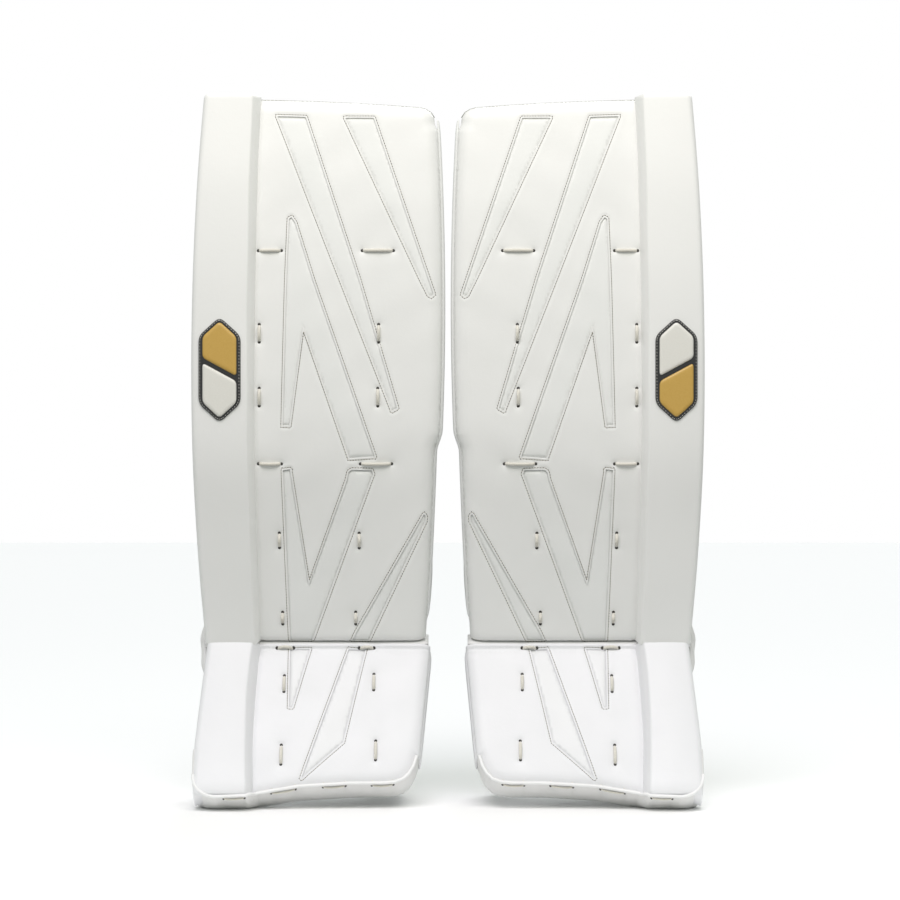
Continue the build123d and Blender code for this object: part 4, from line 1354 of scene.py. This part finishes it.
def rear_stitches(name, lines, place, seat, body, pitch=3.2, closed=True):
    """Rows of stitches on a rearward face."""
    stitched(name, lines, lambda x, up, d: place(x, -d, up), lambda p: np.full(len(p), -seat), body, pitch,
             closed)


def foam_block(name, place, height, bow_of, depth, near_x, far_x, strap_width):
    """One block on each pad, with its welts and its tape's stitches. Gives the patch of loop tape."""
    rows = []
    rear = depth - tape_drop
    for up in close_spaced(0.5, height - 0.5, 5.0):
        squeeze = end_squeeze(up - 0.5) + end_squeeze(height - 0.5 - up)
        front = -float(bow_of(up)) + 0.6
        swell = 1.2 * sin(pi * up / height)
        low_x, high_x = near_x + 1.2 + squeeze - swell, far_x - 1.2 - squeeze + swell
        back = rear - 0.8 - squeeze
        outline = plate((low_x, front), (high_x, back), 7.0)
        line = closed_line(outline)
        length = np.concatenate([[0], np.cumsum(np.linalg.norm(np.diff(line, axis=0), axis=1))])
        at = np.linspace(0, length[-1], 65)[:-1]
        rows.append(np.stack([np.interp(at, length, line[:, 0]), np.interp(at, length, line[:, 1]),
                              np.full(64, up)], -1))
    points, polygons = lofted(rows, place)
    flat = np.vstack(rows + [rows[0].mean(0)[None], rows[-1].mean(0)[None]])
    pinned = (flat[:, 1] < 8) | (flat[:, 1] > rear - 6)
    soft = {"verts": points, "faces": polygons, "pinned": pinned}
    padded_pair(f"{name}_block", soft, 2.6, white_leather, "shin", "white_leather", [f"{name}_block"])
    ups = np.linspace(5, height - 5, 40)
    welts = [tube(place(x, rear - 2.6, ups), 1.3, 7) for x in (near_x + 2.2, far_x - 2.2)]
    both_pads(f"{name}_block_welts", *gathered(welts), piping_leather, "shin", "piping")
    patch_low = np.array([near_x + 8.5, (height - strap_width) / 2 - 10])
    patch_high = np.array([far_x - 8.5, (height + strap_width) / 2 + 10])
    patch_shape = plate(patch_low, patch_high, 4)
    rear_stitches(f"{name}_tape_stitches", [outside_line(patch_shape, -1.8)], place, rear + 1.45, "shin")
    return rear_patch(patch_shape, place, rear + 0.1, 1.3, 1.2)


calf_tape = foam_block("calf", calf_place, calf_height, calf_bow, 120.0, 20.0, 56.0, 50.0)
knee_tape = foam_block("knee", knee_place, knee_height, knee_bow, 104.0, 20.0, 57.0, 45.0)
both_pads("loop_tapes", *gathered([calf_tape, knee_tape]), loop_cloth, "shin", "loop_tape", ["loop_tapes"])

# ---------------------------------------------------------------- the wings
# Two padded leather wings are hinged to the board's outer rear edge by their own skin. They wrap the leg from
# the outside, and each carries a strap on its free end.
wing_leather = leather("wing_leather", (0.83, 0.832, 0.82), (0.78, 0.785, 0.77), roughness=0.46, grain=0.09)


def hooked(outer, thickness, rear, bend, end_x):
    """A wing's plan: straight back from the board, round a bend, and across. Gives its place and length."""
    turn = 1 if end_x < outer else -1
    middle = outer - turn * thickness / 2
    straight = rear - thickness / 2 - bend
    arc = bend * pi / 2
    across = abs(end_x - (middle - turn * bend))

    def at(u, rise):
        u = np.asarray(u, float)
        angle = np.clip((u - straight) / bend, 0, pi / 2)
        x = middle - turn * bend * (1 - np.cos(angle)) - turn * np.maximum(u - straight - arc, 0)
        y = np.minimum(u, straight) + bend * np.sin(angle)
        return x + turn * rise * np.cos(angle), y + rise * np.sin(angle)

    return at, straight + arc + across


wing_outer_x = 269.0


def wing_pair(name, place, height, bow_of, depth, reach):
    """A wing on each pad, with a sewn channel inside its edge. Its root follows the board's bow."""
    at, length = hooked(wing_outer_x, 14.0, depth, 46.0, wing_outer_x - reach)

    def on_wing(u, up, rise):
        x, y = at(u, rise)
        root = np.clip(1 - np.asarray(u, float) / 30, 0, 1)
        return place(x, y + (0.8 - bow_of(np.asarray(up, float))) * root, up)

    shape = rounded([(0, 2), (40, 2), (length, 0.5), (length, height - 0.5), (40, height - 2),
                     (0, height - 2)], 22.0, 8)
    shape = np.vstack([[(0, 2.0)], shape[(shape[:, 0] > 24)], [(0, height - 2.0)]])
    inset = 11.0
    seam_line = rounded([(12, inset), (length - inset, inset), (length - inset, height - inset),
                         (12, height - inset)], 16.0, 7)
    seam_line = closed_line(seam_line)
    soft = pillow(shape, on_wing, 5.6, 5.6, 6.5, [seam_line], held=lambda p: p[:, 0] < 14)
    hinge = place(262.0, 1.0, height / 2) * 0.001
    free = place(262.0, 15.0, height / 2) * 0.001
    padded_pair(f"{name}_wing", soft, 1.6, wing_leather, "shin", "wing_leather", [f"{name}_wing"],
                (f"{name}_wing", hinge, free))
    seam_stitches(f"{name}_wing_stitches", [seam_line[seam_line[:, 0] > 30]], soft, on_wing, 0.1,
                  f"{name}_wing", 4.0)


wing_pair("calf", calf_place, calf_height, calf_bow, 120.0, 92.0)
wing_pair("knee", knee_place, knee_height, knee_bow, 104.0, 80.0)

# ---------------------------------------------------------------- the straps
# Flat woven webbing, sewn to each wing and to the boot's outer flap with a boxed cross of stitches. The free
# end has hook tape under it and a leather pull tab over it.
webbing = fabric("webbing", (0.70, 0.70, 0.69), (0.52, 0.52, 0.51), 0.7, 700.0, 0.9, 0.3)
tab_leather = leather("tab_leather", (0.62, 0.62, 0.61), (0.52, 0.52, 0.51), roughness=0.42, grain=0.1)
anchor = 29.0


def strap_pair(name, place, middle, seat_y, width, hinge_x, tip_x, parent, child):
    """One strap as a single band, laid flat along its seat."""
    def on_strap(x, up, rise):
        x = np.asarray(x, float)
        ripple = 0.12 * np.sin(np.asarray(up, float) * 2 * pi / 6.3)
        return place(x, seat_y + 1.78 + rise + np.where(rise > 0, ripple, 0), up)

    corners = [(tip_x, middle - width / 2 + 0.4), (hinge_x + anchor, middle - width / 2 + 0.4),
               (hinge_x + anchor, middle + width / 2 - 0.4), (tip_x, middle + width / 2 - 0.4)]
    shape = rounded(corners, 7.0, 6)
    band = pillow(shape, on_strap, 1.2, 1.35, 1.5, gap=3.5, flip=True)
    both_pads(f"{name}_strap", band["verts"], band["faces"], webbing, parent, "webbing", [f"{name}_strap"],
              blend=(child, place(hinge_x + 3.5, seat_y + 1.5, middle) * 0.001,
                     place(hinge_x - 4.5, seat_y + 1.5, middle) * 0.001))
    low, high = middle - width / 2 + 5, middle + width / 2 - 5
    near, far = hinge_x + 5, hinge_x + anchor - 4
    box = np.array([(near, low), (far, low), (far, high), (near, high)])
    cross = [closed_line(box), box[[0, 2]], box[[1, 3]]]
    rear_stitches(f"{name}_strap_stitches", cross, place, seat_y + 3.05, parent, 3.0, False)
    tab = plate((tip_x - 1.5, middle - width * 0.36), (tip_x + 17, middle + width * 0.36), 5.0)
    tab_patch = rear_patch(tab, place, seat_y + 3.0, 1.5, 1.4, 2.2)
    both_pads(f"{name}_pull_tab", *tab_patch, tab_leather, child, "flap_leather")
    rear_stitches(f"{name}_tab_stitches", [outside_line(tab, -2.6)], place, seat_y + 4.55, child)


strap_pair("calf", calf_place, calf_height / 2, 120.0, 50.0, 180.0, 24.5, "calf_wing", "calf_strap")
strap_pair("knee", knee_place, knee_height / 2, 104.0, 45.0, 192.0, 24.5, "knee_wing", "knee_strap")


def upright(x, y, z):
    """A plain place function, for what stands square to the floor."""
    x, y, z = np.broadcast_arrays(np.asarray(x, float), y, z)
    return np.stack([x, y, z], -1)


strap_pair("boot", upright, 84.0, 52.0, 38.0, 192.0, 43.5, "boot", "boot_strap")

# ---------------------------------------------------------------- the boot's flaps
# Two padded leather flaps stand behind the boot, one each side of the skate. They are sewn to the boot's rear
# edge along its slope, and the boot's strap closes them.
flap_leather = leather("flap_leather", (0.78, 0.78, 0.775), (0.70, 0.70, 0.695), roughness=0.5, grain=0.12)
flap_root_y = -77.4
flap_slope = 0.577


def flap_soft(outer, rear, bend, end_x, low_z, top_z):
    """One flap as a cushion, with its sewn channel and its place function."""
    at, length = hooked(outer, 11.0, rear - flap_root_y, bend, end_x)

    def on_flap(u, z, rise):
        x, y = at(u, rise)
        return upright(x, y + flap_root_y, z)

    def root(z):
        return flap_slope * z + 1.0

    shape = rounded([(root(low_z), low_z + 0.6), (length, low_z + 0.6), (length, top_z - 0.6),
                     (root(top_z), top_z - 0.6)], 16.0, 7)
    shape[:, 0] = np.maximum(shape[:, 0], root(shape[:, 1]))
    seam_line = rounded([(root(low_z) + 9, low_z + 9), (length - 9, low_z + 9), (length - 9, top_z - 9),
                         (root(top_z) + 9, top_z - 9)], 10.0, 6)
    seam_line = closed_line(seam_line)
    soft = pillow(shape, on_flap, 4.4, 4.4, 5.5, [seam_line], flip=end_x > outer,
                  held=lambda p: p[:, 0] < flap_slope * p[:, 1] + 9)
    return soft, seam_line, on_flap


outer_flap, outer_seam, on_outer_flap = flap_soft(265.0, 52.0, 34.0, 189.0, 0.0, 150.0)
inner_flap, inner_seam, on_inner_flap = flap_soft(39.0, 50.4, 24.0, 83.0, 14.0, 150.0)
both_flaps = gathered([swollen(flap, 1.3) for flap in (outer_flap, inner_flap)])
for piece in both_pads("boot_flaps", *both_flaps, flap_leather, "boot", "flap_leather", ["boot_flaps"]):
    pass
seam_stitches("outer_flap_stitches", [outer_seam], outer_flap, on_outer_flap, 0.1, "boot", 4.0)
seam_stitches("inner_flap_stitches", [inner_seam], inner_flap, on_inner_flap, 0.1, "boot", 4.0)
flap_patch = rear_patch(plate((53.0, 60.0), (83.0, 108.0), 4), upright, 50.5, 1.3, 1.2)
both_pads("flap_tape", *flap_patch, loop_cloth, "boot", "loop_tape")

# ---------------------------------------------------------------- the toe bridge's eyelets
# The toe bridge is an arched strap of stiff webbing. The skate's toe cord ties through its two turned metal
# eyelets, which are rolled over on both faces of the webbing.
eyelet_metal, eyelet_tree, eyelet_shader = bsdf("eyelet_metal", (0.62, 0.62, 0.63), 0.3, Metallic=1.0)
scratches = eyelet_tree.nodes.new("ShaderNodeTexNoise")
scratches.inputs["Scale"].default_value = 700.0
uneven_gloss(eyelet_tree, eyelet_shader, scratches, 0.2, 0.45)
half_profile = [(3.1, 1.4), (3.5, 2.0), (4.5, 2.3), (5.4, 2.05), (5.4, 1.75), (3.9, 1.75), (3.4, 1.2)]
profile = half_profile + [(r, -rise) for r, rise in half_profile[::-1]]
turns = np.linspace(0, 2 * pi, 25)[:-1]
count = len(profile)
polygons = [(k * count + i, k * count + (i + 1) % count, (k + 1) % 24 * count + (i + 1) % count,
             (k + 1) % 24 * count + i) for k in range(24) for i in range(count)]
rings = []
for x in (118.0, 142.0):
    rows = [[(x + r * cos(a), 132.0 + r * sin(a), 52.0 + rise) for r, rise in profile] for a in turns]
    rings.append((np.vstack([on_boot(*np.transpose(row)) for row in rows]), polygons))
both_pads("toe_eyelets", *gathered(rings), eyelet_metal, "boot", "piping")

# ---------------------------------------------------------------- the plain parts carried from the frame
# The back skin, the stiffener inside the board and the toe bridge keep their own shape, and take the finish
# of coated back cloth, a hard fibre sheet and webbing.
back_cloth = leather("back_leather", (0.70, 0.71, 0.71), (0.62, 0.63, 0.63), roughness=0.55, grain=0.14,
                     scale=700.0)
fibre_board = moulded("stiff_board", (0.20, 0.17, 0.13), (0.27, 0.23, 0.18), 0.6, 300, 0.3)
for side in ("left", "right"):
    for node, finish in (("back_skin", back_cloth), ("stiffener", fibre_board), ("toe_bridge", webbing)):
        carried = bpy.data.objects[f"{side}_{node}"]
        carried.data.materials.clear()
        carried.data.materials.append(finish)

# ---------------------------------------------------------------- the room
# A pale floor under a soft light high in front, a broad panel nearer the pads, and a weaker light behind
# them. Paper and room stay bright to the eye but throw back less light, as black flags beside a set would do.
def flagged(tree, bright, dim):
    """A level that is bright where it is seen directly, and dim where it only lights other things."""
    sight = tree.nodes.new("ShaderNodeLightPath")
    return between(tree, sight.outputs["Is Camera Ray"], dim, bright)


paper, paper_tree, paper_shader = bsdf("floor_paper", (0.9, 0.9, 0.9), 0.9)
seen_paper = flagged(paper_tree, (0.95, 0.95, 0.95), (0.22, 0.22, 0.22))
paper_tree.links.new(seen_paper, paper_shader.inputs["Base Color"])
sheet = bsdf("sheet_paper", (0.95, 0.95, 0.95), 0.9)[0]
# Only the piece of floor right under the pads throws back its full light.
across = (-9.0, -0.60, 0.60, 9.0)
along = (-9.0, -0.25, 0.27, 9.0)
floor_mesh = bpy.data.meshes.new("floor")
floor_mesh.from_pydata([(x, y, 0) for y in along for x in across], [],
                       [(i, i + 1, i + 5, i + 4) for row in (0, 4, 8) for i in range(row, row + 3)])
floor_mesh.materials.append(paper)
floor_mesh.materials.append(sheet)
floor_mesh.polygons[4].material_index = 1
floor = bpy.data.objects.new("floor", floor_mesh)
bpy.context.scene.collection.objects.link(floor)


def soft_light(name, kind, aim, place, power, **settings):
    """A light at a place, turned to its aim."""
    lamp = bpy.data.lights.new(name, kind)
    lamp.energy = power
    for setting, value in settings.items():
        setattr(lamp, setting, value)
    holder = bpy.data.objects.new(name, lamp)
    bpy.context.scene.collection.objects.link(holder)
    holder.location = place
    holder.rotation_euler = (Vector(aim) - Vector(place)).to_track_quat("-Z", "Y").to_euler()


soft_light("key", "SUN", (0, 0, 0), (-0.25, -1.0, 1.73), 0.93, angle=radians(34), color=(0.92, 0.865, 1.0))
soft_light("top", "AREA", (0, -0.05, 0.5), (0, -0.95, 1.36), 8.4, shape="RECTANGLE", size=1.5, size_y=0.5,
           color=(1.0, 0.955, 0.87))
soft_light("rear", "SUN", (0, 0, 0), (0.7, 1.6, 1.3), 1.0, angle=radians(40), color=(0.97, 0.985, 1.0))
world = bpy.data.worlds.new("studio")
world.use_nodes = True
world.node_tree.links.new(flagged(world.node_tree, (1.0, 1.0, 1.0), (0.575, 0.606, 0.57)),
                          world.node_tree.nodes["Background"].inputs["Color"])
bpy.context.scene.world = world
bpy.context.scene.view_settings.view_transform = "Standard"

# The camera stands level with the middle of the pads, far enough back that their sides hardly show.
camera_data = bpy.data.cameras.new("camera")
camera = bpy.data.objects.new("camera", camera_data)
bpy.context.scene.collection.objects.link(camera)
camera_distance = 3.2
view_width = 0.9864
camera_data.sensor_width = 36
camera_data.lens = 36 * camera_distance / view_width
camera.location = (0.0022, -camera_distance - 0.07, 0.39)
camera.rotation_euler = (pi / 2, 0, 0)
camera_data.clip_end = 50
bpy.context.scene.camera = camera
